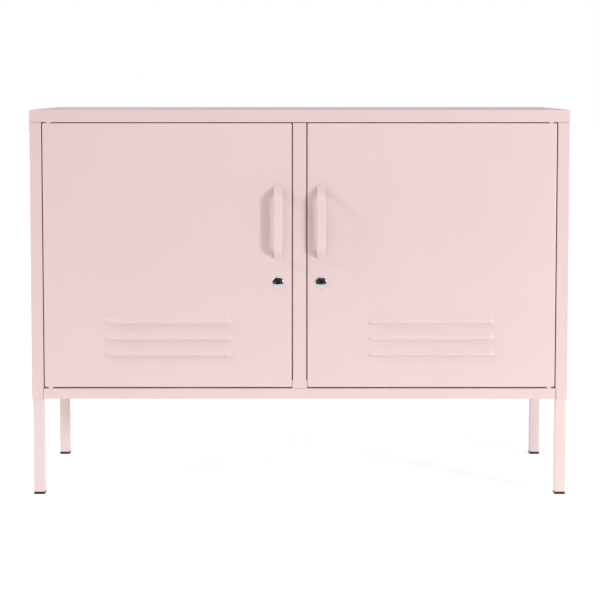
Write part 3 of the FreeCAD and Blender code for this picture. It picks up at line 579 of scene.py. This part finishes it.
def makeDivider():
    low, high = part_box("centre_divider")
    half = sheetWall / 2
    columns = np.array([centreOf(f"left_{end}_upright")[1] + slots["columnOffset"] * mm * way
                        for end in ("front", "back") for way in (-1, 1)])
    edges = np.concatenate([columns - slots["width"] / 2 * mm, columns + slots["width"] / 2 * mm])
    foldY = high.y - 2 * half
    bend = bentLine([(half, high.y - divider["foldFrom"] * mm), (half, foldY), (high.x, foldY)])
    footY = low.y + divider["footFrom"] * mm
    yLines = np.unique([low.y, footY, *edges, high.y - divider["flangeFrom"] * mm])
    line = np.concatenate([[(half, y) for y in yLines], bend])
    starts, rows = slotRows(low.z, high.z)
    flangeLow = floorZ + divider["flangeAboveFloor"] * mm
    flangeHigh = topZ - (sidePanel["topFlange"] + divider["flangeBelowTop"]) * mm
    rows = np.unique(np.concatenate([rows, [flangeLow, flangeHigh]]))
    cellY, cellZ = np.meshgrid(middles(line[:, 1]), middles(rows))
    inFold = middles(line[:, 1]) > high.y - divider["foldZone"] * mm
    onFlange = inFold | (middles(line[:, 0]) > half + 1e-5)
    short = (cellZ < flangeLow) | (cellZ > flangeHigh)
    parts = [sweptPart(line, rows, "xyz", ~(inSlots(cellY, cellZ, columns, starts) | (onFlange & short)))]
    foot = yLines[yLines >= footY]
    parts.append(gridPart(np.array([[(x, y, low.z) for y in foot] for x in (half, low.x)])))
    makePiece("centreDivider", "centre_divider", parts, wall=sheetWall, outside=(1, 0, 0))


# tray with its flanges folded down and under
shelf = {"flange": 20.0, "return": 10.0}


def makeShelf(side, sign):
    low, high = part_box(f"{side}_shelf")
    x0, x1 = sorted((sign * low.x, sign * high.x))
    depth = shelf["flange"] * mm + sheetWall
    parts = trayParts(x0, x1, low.y, high.y, high.z, depth, shelf["return"] * mm, 3)
    makePiece(f"{side}Shelf", f"{side}_shelf", parts, sign, wall=sheetWall, outside=(0, 0, 1))


for side, sign in sides:
    makeUpright(side, sign, "front")
    makeUpright(side, sign, "back")
    makeShelf(side, sign)
makeDivider()
print("case: shelves, uprights and divider")

# bent steel clip: a ledge, a plate down the wall's face, and a hook through the slot
clips = {"ledge": 12.0, "thickness": 2.0, "plate": 11.0, "hook": 2.8, "hookDrop": 5.5}


def makeClips():
    parts = []
    thick = clips["thickness"] * mm
    for low, high in solidBoxes("shelf_clips"):
        ledgeToRight = abs(low[0]) > sideX / 2 if low[0] < 0 else abs(low[0]) < sideX / 4
        way, hookEnd = (1, low[0]) if ledgeToRight else (-1, high[0])
        tip = (high[0] if way > 0 else low[0])
        face = tip - way * clips["ledge"] * mm
        hook = hookEnd + way * clips["hook"] * mm
        top, under = high[2], high[2] - thick
        plateEnd, hookDrop = top - clips["plate"] * mm, top - clips["hookDrop"] * mm
        outline = np.array([
            (tip, top), (tip, under), (face + way * thick, under), (face + way * thick, plateEnd),
            (face, plateEnd), (face, under), (hook, under), (hook, hookDrop),
            (hookEnd, hookDrop), (hookEnd, top)])
        parts += loftParts(raisedRings([outline] * 2, (low[1], high[1]), (0, 0, 0), "xzy"))
    makePiece("shelfClips", "shelf_clips", parts, bevel=0.35 * mm)


# square tube with a plate and three weld nuts at its top; the foot is a cap with a plug inside the tube
legs = {"tube": 20.0, "corner": 1.8, "plate": 2.5, "plateCorner": 4.0, "nutFlats": 9.6,
        "nutBore": 3.0, "nutHeight": 5.0}
feet = {"half": 10.3, "corner": 2.0, "chamfer": 0.8, "cap": 5.0, "plugHalf": 8.6}


def hexOutline(flats, steps=36):
    # radius by angle: half the flats over the cosine of the angle from the nearest flat's middle
    angle = np.arange(steps) * 2 * math.pi / steps
    radius = flats / 2 / np.cos(angle % (math.pi / 3) - math.pi / 6)
    return angle, radius


def nutRings(flats, bore, height):
    # a nut's section at every angle: bore, flat face, chamfer towards the corners, and the same behind
    angle, radius = hexOutline(flats)
    circle = np.stack([np.cos(angle), np.sin(angle)], 1)
    face = np.minimum(radius, flats / 2 * 0.97)[:, None]
    drop = (radius[:, None] - face) * 0.58
    levels = [(bore, 0), (face, 0), (radius[:, None], drop), (radius[:, None], height - drop), (face, height),
              (bore, height), (bore, 0)]
    return [(circle * reach, lift) for reach, lift in levels]


def nutParts(centre, axes, flats, bore, height):
    # centre is the middle of the nut's lower face along the third of the named axes
    order = ["xyz".index(letter) for letter in axes]
    rings = []
    for outline, lift in nutRings(flats, bore, height):
        ring = np.zeros((len(outline), 3))
        ring[:, order[0]] = outline[:, 0]
        ring[:, order[1]] = outline[:, 1]
        ring[:, order[2]] = np.ravel(lift) + np.zeros(len(outline))
        rings.append(ring + np.array(centre))
    return [gridPart(np.array(rings), closed=True)]


def makeLeg(end, hand):
    name = f"{end}_{hand}"
    low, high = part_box(f"{name}_leg")
    foot = centreOf(f"{name}_foot")
    half = legs["tube"] / 2 * mm
    plateLow = high.z - legs["plate"] * mm
    tube = roundedRing(half, half, legs["corner"] * mm)
    heights = (low.z, low.z + 1 * mm, plateLow - 1 * mm, plateLow)
    parts = loftParts(raisedRings([tube] * 4, heights, (*foot[:2], 0)))
    middle = (low + high) / 2
    plate = roundedRing((high.x - low.x) / 2, (high.y - low.y) / 2, legs["plateCorner"] * mm)
    edge = plate * 0.99
    heights = (plateLow, plateLow + 0.3 * mm, high.z - 0.3 * mm, high.z)
    parts += loftParts(raisedRings([edge, plate, plate, edge], heights, (middle.x, middle.y, 0)))
    for boltLow, boltHigh in solidBoxes("leg_bolts"):
        x, y = (boltLow[:2] + boltHigh[:2]) / 2
        if low.x < x < high.x and low.y < y < high.y:
            flats, bore, height = (legs[key] * mm for key in ("nutFlats", "nutBore", "nutHeight"))
            parts += nutParts((x, y, plateLow - height), "xyz", flats, bore, height)
    makePiece(f"{end}{hand.capitalize()}Leg", f"{name}_leg", parts)
    half, corner, chamfer = feet["half"] * mm, feet["corner"] * mm, feet["chamfer"] * mm
    plug = feet["plugHalf"] * mm
    cap = feet["cap"] * mm
    squares = [(half - chamfer, corner - chamfer), (half, corner), (half, corner), (half - 0.3 * mm, corner),
               (plug, 1 * mm), (plug, 1 * mm)]
    outlines = [roundedRing(size, size, radius) for size, radius in squares]
    bottom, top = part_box(f"{name}_foot")
    heights = (bottom.z, bottom.z + chamfer, cap - 0.3 * mm, cap, cap, top.z)
    makePiece(f"{end}{hand.capitalize()}Foot", f"{name}_foot",
              loftParts(raisedRings(outlines, heights, (foot[0], foot[1], 0))))


makeClips()
for end in ("front", "back"):
    for hand in ("left", "right"):
        makeLeg(end, hand)
print("case: clips, legs and feet")

# headed fasteners by shank radius, head radius and head height in mm; the head is domed, and its cross
# recess goes by shares of the head's size
fasteners = {"small": (2.0, 3.8, 1.6), "legBolt": (3.0, 5.5, 3.0), "camScrew": (2.0, 5.5, 3.0),
             "recessDepth": 0.55, "recessReach": 0.52, "recessHalf": 0.13, "steps": 32}


def crossRecess(headRadius, headHeight, base):
    # depth of the recess at (u, v): full inside either arm of the cross, nothing outside it
    def dip(u, v, along):
        reach = fasteners["recessReach"] * headRadius
        half = fasteners["recessHalf"] * headRadius
        inArm = (np.minimum(np.abs(u), np.abs(v)) < half) & (np.hypot(u, v) < reach)
        return np.where(inArm & (along > base + headHeight * 0.3), -fasteners["recessDepth"] * headHeight, 0)
    return dip


def screwParts(tip, top, axis, shank, head, headHeight):
    # tip and top are where the screw ends along its axis, measured along it; both are points on the axis
    axis = np.array(axis, float)
    length = float(np.dot(np.array(top) - np.array(tip), axis))
    base = length - headHeight
    share = np.array([0, 0.14, 0.28, 0.4, 0.5, 0.54, 0.68, 0.82, 0.93, 1])
    dome = [(head * r, base + headHeight * (0.35 + 0.65 * math.sqrt(max(0, 1 - r ** 3)))) for r in share]
    profile = [*dome, (head, base), (shank, base), (shank, shank * 0.4), (shank * 0.6, 0), (0, 0)]
    return turnedParts(profile, tip, axis, fasteners["steps"], crossRecess(head, headHeight, base))


def makeScrews(name, node, kind, axis):
    parts = []
    line = int(np.argmax(np.abs(axis)))
    shank, head, headHeight = (size * mm for size in fasteners[kind])
    for low, high in solidBoxes(node):
        middle = (low + high) / 2
        tip, top = middle.copy(), middle.copy()
        tip[line], top[line] = (low[line], high[line]) if axis[line] > 0 else (high[line], low[line])
        parts += screwParts(tip, top, axis, shank, head, headHeight)
    makePiece(name, node, parts)


makeScrews("legBolts", "leg_bolts", "legBolt", (0, 0, 1))
makeScrews("caseScrews", "case_screws", "small", (0, 0, -1))
makeScrews("backPanelScrews", "back_panel_screws", "small", (0, 1, 0))
makeScrews("dividerScrews", "divider_screws", "small", (0, 0, 1))
makeScrews("catchScrews", "catch_screws", "small", (0, 0, 1))
print("case: screws and bolts")

# turned pieces, by (radius, height) pairs in mm
hingePin = {"shank": 2.5, "head": 4.5, "headHeight": 2.0, "chamfer": 0.5}
catch = {"depth": 16.5, "corner": 1.6, "rounding": 0.6, "nose": 1.3, "noseRoot": 4.0}
grommet = {"bore": 25.0, "neck": 28.0, "flange": 32.0, "flangeThickness": 1.6}


def makeHingePin(side, end):
    name = f"{side}_{end}_hinge_pin"
    low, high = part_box(name)
    way = 1 if end == "lower" else -1
    x, y, _ = centreOf(name)
    start = low.z if way > 0 else high.z
    length = (high.z - low.z) / mm
    r, head, lip, cut = (hingePin[key] for key in ("shank", "head", "headHeight", "chamfer"))
    profile = [(0, 0), (head - 0.4, 0), (head, 0.4), (head, lip - 0.2), (head - 0.2, lip), (r, lip),
               (r, length - cut), (r - cut, length), (0, length)]
    makePiece(f"{side}{end.capitalize()}HingePin", name,
              turnedParts(np.array(profile) * mm, (x, y, start), (0, 0, way), 24))


def makeCatch(side, sign):
    low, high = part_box(f"{side}_magnet_catch")
    x0, x1 = sorted((sign * low.x, sign * high.x))
    nose = catch["nose"] * mm
    faceY = high.y - catch["depth"] * mm
    halfX, halfY = (x1 - nose - x0) / 2, (high.y - faceY) / 2
    centre = (x0 + halfX, faceY + halfY, 0)
    corner = catch["corner"] * mm
    inset = catch["rounding"] * mm
    outlines = [roundedRing(halfX - inset, halfY - inset, corner), roundedRing(halfX, halfY, corner),
                roundedRing(halfX, halfY, corner), roundedRing(halfX - inset, halfY - inset, corner)]
    heights = (low.z, low.z + inset, high.z - inset, high.z)
    parts = loftParts(raisedRings(outlines, heights, centre))
    halfNose, depth = nose / 2, (faceY + catch["noseRoot"] * mm - low.y) / 2
    fin = roundedRing(halfNose, depth, 0.4 * mm, 2)
    slim = roundedRing(halfNose - 0.2 * mm, depth - 0.2 * mm, 0.2 * mm, 2)
    heights = (low.z, low.z + 0.2 * mm, high.z - 0.2 * mm, high.z)
    parts += loftParts(raisedRings([slim, fin, fin, slim], heights, (x1 - halfNose, low.y + depth, 0)))
    makePiece(f"{side}MagnetCatch", f"{side}_magnet_catch", parts, sign)


def makeGrommet(side):
    name = f"{side}_cable_grommet"
    low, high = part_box(name)
    x, y, z = centreOf(name)
    thick = (high.y - low.y) / mm
    bore, neck, rim, lip = (grommet[key] for key in ("bore", "neck", "flange", "flangeThickness"))
    profile = [(bore, 0.5), (bore + 0.5, 0), (rim - 0.8, 0), (rim - 0.2, 0.3), (rim, 0.8), (rim, lip),
               (neck, lip), (neck, thick - lip), (rim, thick - lip), (rim, thick - 0.8),
               (rim - 0.2, thick - 0.3), (rim - 0.8, thick), (bore + 0.5, thick), (bore, thick - 0.5),
               (bore, 0.5)]
    makePiece(f"{side}CableGrommet", name, turnedParts(np.array(profile) * mm, (x, low.y, z), (0, 1, 0), 64))


for side, sign in sides:
    makeHingePin(side, "lower")
    makeHingePin(side, "upper")
    makeCatch(side, sign)
    makeGrommet(side)
print("case: hinge pins, catches and grommets")

# pressed pan: face with three louvres and the lock's hole, walls and a lip behind
doorPan = {"edgeBend": 2.2, "lip": 12.0, "lockHole": 9.6, "lockHoleSquare": 13.0}
louvres = {"count": 3, "length": 237.0, "height": 16.0, "pitch": 30.2, "lowest": 58.5, "reach": 5.0,
           "endZone": 12.0, "fullness": 1.8, "endFullness": 2.2, "rows": 10, "endColumns": 14}


def louvreHeight(x, z, middle, lows):
    # how far the face stands out: a raised cosine of q to the power of fullness, where q is 0 on the
    # lip's middle and 1 on the outline, whose ends are quarter ellipses; the ends are fuller, so steeper
    half = louvres["length"] * mm / 2
    end = louvres["endZone"] * mm
    across = np.maximum(np.abs(x - middle) - (half - end), 0) / end
    lift = np.zeros(np.broadcast(x, z).shape)
    for low in lows:
        up = (z - low) / (louvres["height"] * mm)
        q = np.clip(np.hypot(across, np.where(up < 0, 9, up)), 1e-6, 1)
        endward = np.clip(across / q, 0, 1) ** 2
        fullness = louvres["fullness"] + (louvres["endFullness"] - louvres["fullness"]) * endward
        lift = np.maximum(lift, np.cos(math.pi / 2 * q ** fullness) ** 2)
    return lift * louvres["reach"] * mm


def makeDoorSkin(side, sign):
    low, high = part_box(f"{side}_door_skin")
    x0, x1 = sorted((sign * low.x, sign * high.x))  # the left door's own place, mirrored later for the right
    bend = doorPan["edgeBend"] * mm
    depth = high.y - frontY
    left, right, bottom, top = x0 + bend, x1 - bend, low.z + bend, high.z - bend
    middle = (x0 + x1) / 2
    half = louvres["length"] * mm / 2
    end = louvres["endZone"] * mm
    slit = 0.01 * mm
    lows = [low.z + (louvres["lowest"] + louvres["pitch"] * i) * mm for i in range(louvres["count"])]
    barrelLow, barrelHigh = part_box(f"{side}_lock_barrel")
    lockX = sign * (barrelLow.x + barrelHigh.x) / 2
    lockZ = (barrelLow.z + barrelHigh.z) / 2
    square = doorPan["lockHoleSquare"] * mm
    endColumns = np.linspace(0, 1, louvres["endColumns"] + 1) ** 1.3 * end
    xLines = [left, middle - half - 0.5 * mm, *(middle - half + endColumns), *(middle + half - endColumns),
              middle + half + 0.5 * mm, right]
    xLines = withHoleLines(np.sort(xLines), [lockX], square, 8)
    rise = np.linspace(0, 1, louvres["rows"] + 1) * louvres["height"] * mm
    zLines = [bottom, top]
    for z in lows:
        zLines += [z - 1 * mm, z - slit, *(z + rise), z + louvres["height"] * mm + 0.6 * mm]
    zLines = withHoleLines(np.sort(zLines), [lockZ], square, 8)
    x, z = np.meshgrid(xLines, zLines)
    lift = louvreHeight(x, z, middle, lows)
    face = np.stack([x, frontY - lift, z], axis=-1)
    cellX, cellZ = np.meshgrid(middles(xLines), middles(zLines))
    inHole = (np.abs(cellX - lockX) < square) & (np.abs(cellZ - lockZ) < square)
    inSlit = np.zeros(cellX.shape, bool)
    for z in lows:
        inSlit |= (cellZ < z) & (cellZ > z - slit) & (np.abs(cellX - middle) < half)
    parts = [gridPart(face, ~(inHole | inSlit))]
    ring = roundHolePart(lockX, lockZ, doorPan["lockHole"] * mm, square, 8)
    ring[..., 1] = frontY
    parts.append(gridPart(ring, closed=True))
    rim = bentLine([(-1 * mm, 0), (bend, 0), (bend, depth), (bend - doorPan["lip"] * mm, depth)], radius=bend)
    rim = rim[2:]  # starts where the face ends
    rings = panPoints(xLines, zLines, rim)
    rings = np.stack([rings[..., 0], frontY + rings[..., 2], rings[..., 1]], axis=-1)
    parts.append(gridPart(rings, closed=True))
    makePiece(f"{side}DoorSkin", f"{side}_door_skin", parts, sign, wall=sheetWall, outside=(0, -1, 0))


for side, sign in sides:
    makeDoorSkin(side, sign)
print("doors: skins")

# bow handle: a channel with its open side to the door, bent at both ends
handle = {"wallThickness": 2.0, "web": 2.0, "rim": 3.6, "edge": 2.4, "slope": 52.0, "bend": 20.0,
          "bendSteps": 14}


def channelSection(width):
    # closed outline of the channel, in (across, depth below the outer line), with rounded outer edges
    half = width / 2
    edge = handle["edge"] * mm
    wall = handle["wallThickness"] * mm
    rim = handle["rim"] * mm
    web = handle["web"] * mm
    outer = bentLine([(-half, rim), (-half, 0), (half, 0), (half, rim)], edge, 6, 0.3 * mm)
    inner = bentLine([(half - wall, rim), (half - wall, web), (wall - half, web), (wall - half, rim)],
                     0.8 * mm, 3, 0.2 * mm)
    return np.concatenate([outer, inner])


def makeHandle(side, sign):
    # the section is carried along the bow: at each station the outer line's point and its inward normal
    # place the section, and at the feet the section is cut off by the door's face
    low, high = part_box(f"{side}_handle")
    x = sign * (low.x + high.x) / 2
    section = channelSection(high.x - low.x)
    slope = math.radians(handle["slope"])
    rise = frontY - low.y
    topHalf = (high.z - low.z) / 2 - rise / math.tan(slope)
    middleZ = (low.z + high.z) / 2
    corners = [(frontY, low.z), (low.y, middleZ - topHalf), (low.y, middleZ + topHalf), (frontY, high.z)]
    line = bentLine(corners, handle["bend"] * mm, handle["bendSteps"], 1 * mm)
    ahead = np.gradient(line, axis=0)
    ahead /= np.linalg.norm(ahead, axis=1, keepdims=True)
    inward = np.stack([ahead[:, 1], -ahead[:, 0]], axis=1)  # turned a quarter towards the door
    y = line[:, :1] + section[None, :, 1] * inward[:, :1]
    z = line[:, 1:] + section[None, :, 1] * inward[:, 1:]
    for end, first in ((0, 1), (-1, -2)):
        run = (frontY - y[end]) / (y[end] - y[first] + 1e-12)
        z[end] += (z[end] - z[first]) * run
        y[end] = frontY
    points = np.stack([x + section[None, :, 0] + np.zeros_like(y), y, z], axis=-1)
    parts = loftParts(points)
    makePiece(f"{side}Handle", f"{side}_handle", parts, sign)


for side, sign in sides:
    makeHandle(side, sign)
print("doors: handles")

# hat section welded behind the skin
stiffener = {"crown": 24.0}


def makeStiffener(side, sign):
    low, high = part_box(f"{side}_door_stiffener")
    x0, x1 = sorted((sign * low.x, sign * high.x))
    middle, half = (x0 + x1) / 2, stiffener["crown"] * mm / 2
    brim = low.y + sheetWall
    line = bentLine([(x0, brim), (middle - half, brim), (middle - half, high.y), (middle + half, high.y),
                     (middle + half, brim), (x1, brim)])
    makePiece(f"{side}DoorStiffener", f"{side}_door_stiffener", [sweptPart(line, (low.z, high.z), "xyz")], sign,
              wall=sheetWall, outside=(0, 1, 0))


# cam lock: a domed chrome bezel on a threaded barrel, a plug with a keyway, a nut, a cam and its screw
lock = {"bezel": 11.0, "bezelHeight": 2.6, "crown": 0.9, "rimRound": 2.4, "rimDrop": 1.6, "groove": 0.35,
        "thread": 9.5, "threadDepth": 0.4, "threadPitch": 1.25, "bore": 6.1, "plug": 6.0, "plugSunk": 0.1,
        "plugEdge": 0.35, "keyHalfWidth": 0.8, "keyHalfHeight": 4.0, "keyDepth": 5.0, "nutFlats": 24.0,
        "camHub": 9.0, "camTip": 7.0, "camCorner": 3.5}


def crownHeight(radius):
    # the lock's face is a shallow dome: a parabola that falls by the crown's height at the bezel's edge
    return lock["bezelHeight"] - lock["crown"] * (np.asarray(radius) / lock["bezel"]) ** 2


def makeBarrel(side):
    name = f"{side}_lock_barrel"
    low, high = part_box(name)
    x, _, z = centreOf(name)
    back = -(high.y - frontY) / mm
    bore, edge, rim, drop, thread = (lock[key] for key in ("bore", "bezel", "rimRound", "rimDrop", "thread"))
    inner = (bore, crownHeight(bore) - lock["groove"])
    face = np.linspace(bore + 0.3, edge - rim, 5)
    turn = np.linspace(0, math.pi / 2, 7)[1:]
    start = crownHeight(edge - rim)
    rounded = np.stack([edge - rim + rim * np.sin(turn), start - drop + drop * np.cos(turn)], 1)
    along = np.arange(-1.5, back, -lock["threadPitch"] / 2)
    teeth = thread - lock["threadDepth"] * (np.arange(len(along)) % 2)
    profile = np.concatenate([
        [inner], np.stack([face, crownHeight(face)], 1), rounded, [(edge, 0), (thread, 0)],
        np.stack([teeth, along], 1), [(thread - 0.4, back), (bore, back), inner]])
    parts = turnedParts(profile * mm, (x, frontY, z), (0, -1, 0), 64)
    makePiece(f"{side}LockBarrel", name, parts, sharpAngle=50)


def makePlug(side):
    # rings run from the keyway's foot, a rectangle, out to a circle; share slides each point between them
    name = f"{side}_lock_plug"
    low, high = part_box(name)
    x, _, z = centreOf(name)
    angle = np.arange(48) * 2 * math.pi / 48
    around = np.stack([np.cos(angle), np.sin(angle)], 1)
    edge = around * lock["plug"]
    halfKey = np.array([lock["keyHalfWidth"], lock["keyHalfHeight"]])
    key = np.clip(around * np.linalg.norm(halfKey), -halfKey, halfKey)
    levels = [(key, lock["bezelHeight"] - lock["keyDepth"])]
    for share in (0, 0.08, 0.35, 0.7, 0.94):
        spots = key * (1 - share) + edge * share
        levels.append((spots, crownHeight(np.linalg.norm(spots, axis=1)) - lock["plugSunk"]))
    levels += [(edge, crownHeight(lock["plug"]) - lock["plugEdge"]), (edge, -(high.y - frontY) / mm)]
    rings = np.array([np.column_stack([spots, lift + np.zeros(48)]) for spots, lift in levels]) * mm
    points = np.stack([x + rings[..., 0], frontY - rings[..., 2], z + rings[..., 1]], axis=-1)
    makePiece(f"{side}LockPlug", name, loftParts(points))


def makeCam(side):
    name = f"{side}_lock_cam"
    low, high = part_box(name)
    x, _, z = centreOf(f"{side}_lock_plug")
    hub, tip, corner = (lock[key] * mm for key in ("camHub", "camTip", "camCorner"))
    start = -math.acos(tip / hub)
    angle = np.linspace(start, math.pi - start, 25)
    arc = hub * np.stack([np.cos(angle), np.sin(angle)], 1)
    foot = low.z - z
    turn = np.linspace(math.pi, 1.5 * math.pi, 7)
    near = np.stack([corner - tip + corner * np.cos(turn), foot + corner + corner * np.sin(turn)], 1)
    outline = np.concatenate([arc, near, near[::-1] * [-1, 1]])
    parts = loftParts(raisedRings([outline] * 2, (low.y, high.y), (x, 0, z), "xzy"))
    makePiece(f"{side}LockCam", name, parts, bevel=0.3 * mm)


def makeLockNut(side):
    name = f"{side}_lock_nut"
    low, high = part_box(name)
    x, _, z = centreOf(name)
    bore = (lock["thread"] + 0.05) * mm
    parts = nutParts((x, low.y, z), "xzy", lock["nutFlats"] * mm, bore, high.y - low.y)
    makePiece(f"{side}LockNut", name, parts)


# small pieces on the door's back
plate = {"corner": 2.0, "edge": 0.25}
bumpStop = {"radius": 4.0}
bush = {"flange": 5.0, "sleeve": 3.8, "bore": 2.55}


def makeStrikePlate(side):
    name = f"{side}_strike_plate"
    low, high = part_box(name)
    middle, half = (low + high) / 2, (high - low) / 2
    edge = plate["edge"] * mm
    wide = roundedRing(half.x, half.z, plate["corner"] * mm)
    slim = roundedRing(half.x - edge, half.z - edge, plate["corner"] * mm - edge)
    levels = (low.y, high.y - edge, high.y)
    parts = loftParts(raisedRings([wide, wide, slim], levels, (middle.x, 0, middle.z), "xzy"))
    makePiece(f"{side}StrikePlate", name, parts)


def makeBumpStops(side):
    parts = []
    r = bumpStop["radius"]
    for low, high in solidBoxes(f"{side}_bump_stops"):
        x, _, z = (low + high) / 2
        h = (high[1] - low[1]) / mm
        profile = [(0, 0), (r, 0), (r, h * 0.45), (r * 0.93, h * 0.75), (r * 0.75, h * 0.94), (r * 0.4, h),
                   (0, h)]
        parts += turnedParts(np.array(profile) * mm, (x, low[1], z), (0, 1, 0), 24)
    makePiece(f"{side}BumpStops", f"{side}_bump_stops", parts)


def makeBushes(side):
    parts = []
    skinLow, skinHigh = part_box(f"{side}_door_skin")
    for low, high in solidBoxes(f"{side}_hinge_bushes"):
        x, y, z = (low + high) / 2
        way = 1 if z < (skinLow.z + skinHigh.z) / 2 else -1
        start = low[2] if way > 0 else high[2]
        face = skinLow.z if way > 0 else skinHigh.z
        collar = abs(face - start) / mm
        length = (high[2] - low[2]) / mm
        rim, sleeve, bore = bush["flange"], bush["sleeve"], bush["bore"]
        profile = [(bore, 0.2), (bore + 0.2, 0), (rim - 0.3, 0), (rim, 0.3), (rim, collar), (sleeve, collar),
                   (sleeve, length - 0.4), (sleeve - 0.4, length), (bore, length), (bore, 0.2)]
        parts += turnedParts(np.array(profile) * mm, (x, y, start), (0, 0, way), 32)
    makePiece(f"{side}HingeBushes", f"{side}_hinge_bushes", parts)


for side, sign in sides:
    makeStiffener(side, sign)
    makeBarrel(side)
    makePlug(side)
    makeCam(side)
    makeLockNut(side)
    makeStrikePlate(side)
    makeBumpStops(side)
    makeBushes(side)
    makeScrews(f"{side}HandleScrews", f"{side}_handle_screws", "small", (0, 1, 0))
    makeScrews(f"{side}CamScrew", f"{side}_cam_screw", "camScrew", (0, 1, 0))
print("doors: locks, stops and bushes")

# what keeps the shape that the frame gave it takes the finish of its slot
for name, node in frame["nodes"].items():
    node.data.materials.clear()
    node.data.materials.append(None)
    node.material_slots[0].link = "OBJECT"
    node.material_slots[0].material = finishes[slotOfNode[name]]
print("carried over:", [name for name, node in frame["nodes"].items() if not node.hide_render])

# white studio: a dim dome that is dark behind the camera, a pale floor, a weak wide lamp in front, a small
# one on the right that throws the handles' shadows, and one high on the left that grazes the doors
studio = {
    "floorColour": "#cbcac9", "glowNear": 0.60, "glowFar": 0.85, "nearTo": 1.5, "farFrom": 6.0,
    "floorReach": 14.0, "floorFront": 2.1,
    "skyLow": 0.40, "skyHigh": 0.87, "darkFrom": 0.86, "darkTo": 0.97, "darkLevel": 0.06,
    "lamps": {
        "front": {"place": (0.2, -3.9, 2.1), "size": 1.6, "power": 15.0},
        "key": {"place": (3.05, -3.02, 1.06), "size": 0.52, "power": 78.0},
        "left": {"place": (-3.3, -1.1, 2.6), "size": 0.7, "power": 52.0},
    },
}
lens = {"focal": 110.0, "distance": 3.391, "height": 0.769, "aside": 0.0008, "shiftUp": -0.130,
        "horizon": 0.3613}


def makeDome():
    # the light's strength by direction: it rises from the horizon to the top, with a dark patch behind
    # the camera; what the camera itself sees of the dome is plain white
    world = bpy.data.worlds.new("soft studio")
    bpy.context.scene.world = world
    world.use_nodes = True
    tree = world.node_tree
    background = tree.nodes["Background"]
    background.inputs["Color"].default_value = linearColour("#ffffff")
    way = addNode(tree, "ShaderNodeTexCoord").outputs["Generated"]
    up = addNode(tree, "ShaderNodeSeparateXYZ", links={0: way})
    rise = addNode(tree, "ShaderNodeMapRange", {"To Min": studio["skyLow"], "To Max": studio["skyHigh"]},
                   {"Value": up.outputs["Z"]})
    facing = addNode(tree, "ShaderNodeVectorMath", {"operation": "DOT_PRODUCT", 1: (0, -1, 0)}, {0: way})
    dark = addNode(tree, "ShaderNodeMapRange", {
        "From Min": studio["darkFrom"], "From Max": studio["darkTo"], "To Min": 1.0,
        "To Max": studio["darkLevel"]}, {"Value": facing.outputs["Value"]})
    both = addNode(tree, "ShaderNodeMath", {"operation": "MULTIPLY"},
                   {0: rise.outputs[0], 1: dark.outputs[0]})
    seen = addNode(tree, "ShaderNodeLightPath").outputs["Is Camera Ray"]
    strength = addNode(tree, "ShaderNodeMix", {"data_type": "FLOAT", 3: 1.0}, {0: seen, 2: both.outputs[0]})
    tree.links.new(strength.outputs[0], background.inputs["Strength"])


def makeRoom():
    angle = np.arange(64) * 2 * math.pi / 64
    ring = np.stack([np.cos(angle), np.sin(angle), np.zeros(64)], axis=1) * studio["floorReach"]
    ring[:, 1] += studio["floorReach"] - studio["floorFront"]  # ends a little in front, and goes far back
    mesh = bpy.data.meshes.new("floor")
    mesh.from_pydata(ring.tolist(), [], [list(range(64))])
    floor = bpy.data.objects.new("floor", mesh)
    bpy.context.scene.collection.objects.link(floor)
    # lit like a cove: the floor glows a little, and more with distance, until it meets the white behind it
    material, tree, shader, place = newFinish("matt white studio floor", {
        "Base Color": linearColour(studio["floorColour"]), "Roughness": 0.9, "Specular IOR Level": 0.1,
        "Emission Color": linearColour("#ffffff")})
    away = addNode(tree, "ShaderNodeVectorMath", {"operation": "LENGTH"}, {0: place})
    glow = addNode(tree, "ShaderNodeMapRange", {
        "From Min": studio["nearTo"], "From Max": studio["farFrom"], "To Min": studio["glowNear"],
        "To Max": studio["glowFar"]}, {"Value": away.outputs["Value"]})
    tree.links.new(glow.outputs[0], shader.inputs["Emission Strength"])
    mesh.materials.append(material)
    aim = Vector((0, frontY, 0.42))
    for name, lamp in studio["lamps"].items():
        light = bpy.data.lights.new(name, "AREA")
        light.energy = lamp["power"]
        light.size = lamp["size"]
        holder = bpy.data.objects.new(name, light)
        bpy.context.scene.collection.objects.link(holder)
        holder.location = lamp["place"]
        holder.rotation_mode = "QUATERNION"
        holder.rotation_quaternion = (aim - Vector(lamp["place"])).to_track_quat("-Z", "Y")
    bpy.context.scene.view_settings.view_transform = "Standard"


def makeCamera():
    # the horizon stands where a level camera with a large shift would put it; all that the shift leaves
    # is a small downward tilt instead
    data = bpy.data.cameras.new("camera")
    data.sensor_width = 36
    data.lens = lens["focal"]
    data.shift_y = lens["shiftUp"]
    camera = bpy.data.objects.new("camera", data)
    bpy.context.scene.collection.objects.link(camera)
    bpy.context.scene.camera = camera
    tilt = math.atan((lens["horizon"] + lens["shiftUp"]) * data.sensor_width / data.lens)
    camera.location = (lens["aside"], frontY - lens["distance"], lens["height"])
    camera.rotation_euler = (math.pi / 2 - tilt, 0, 0)


makeDome()
makeRoom()
makeCamera()
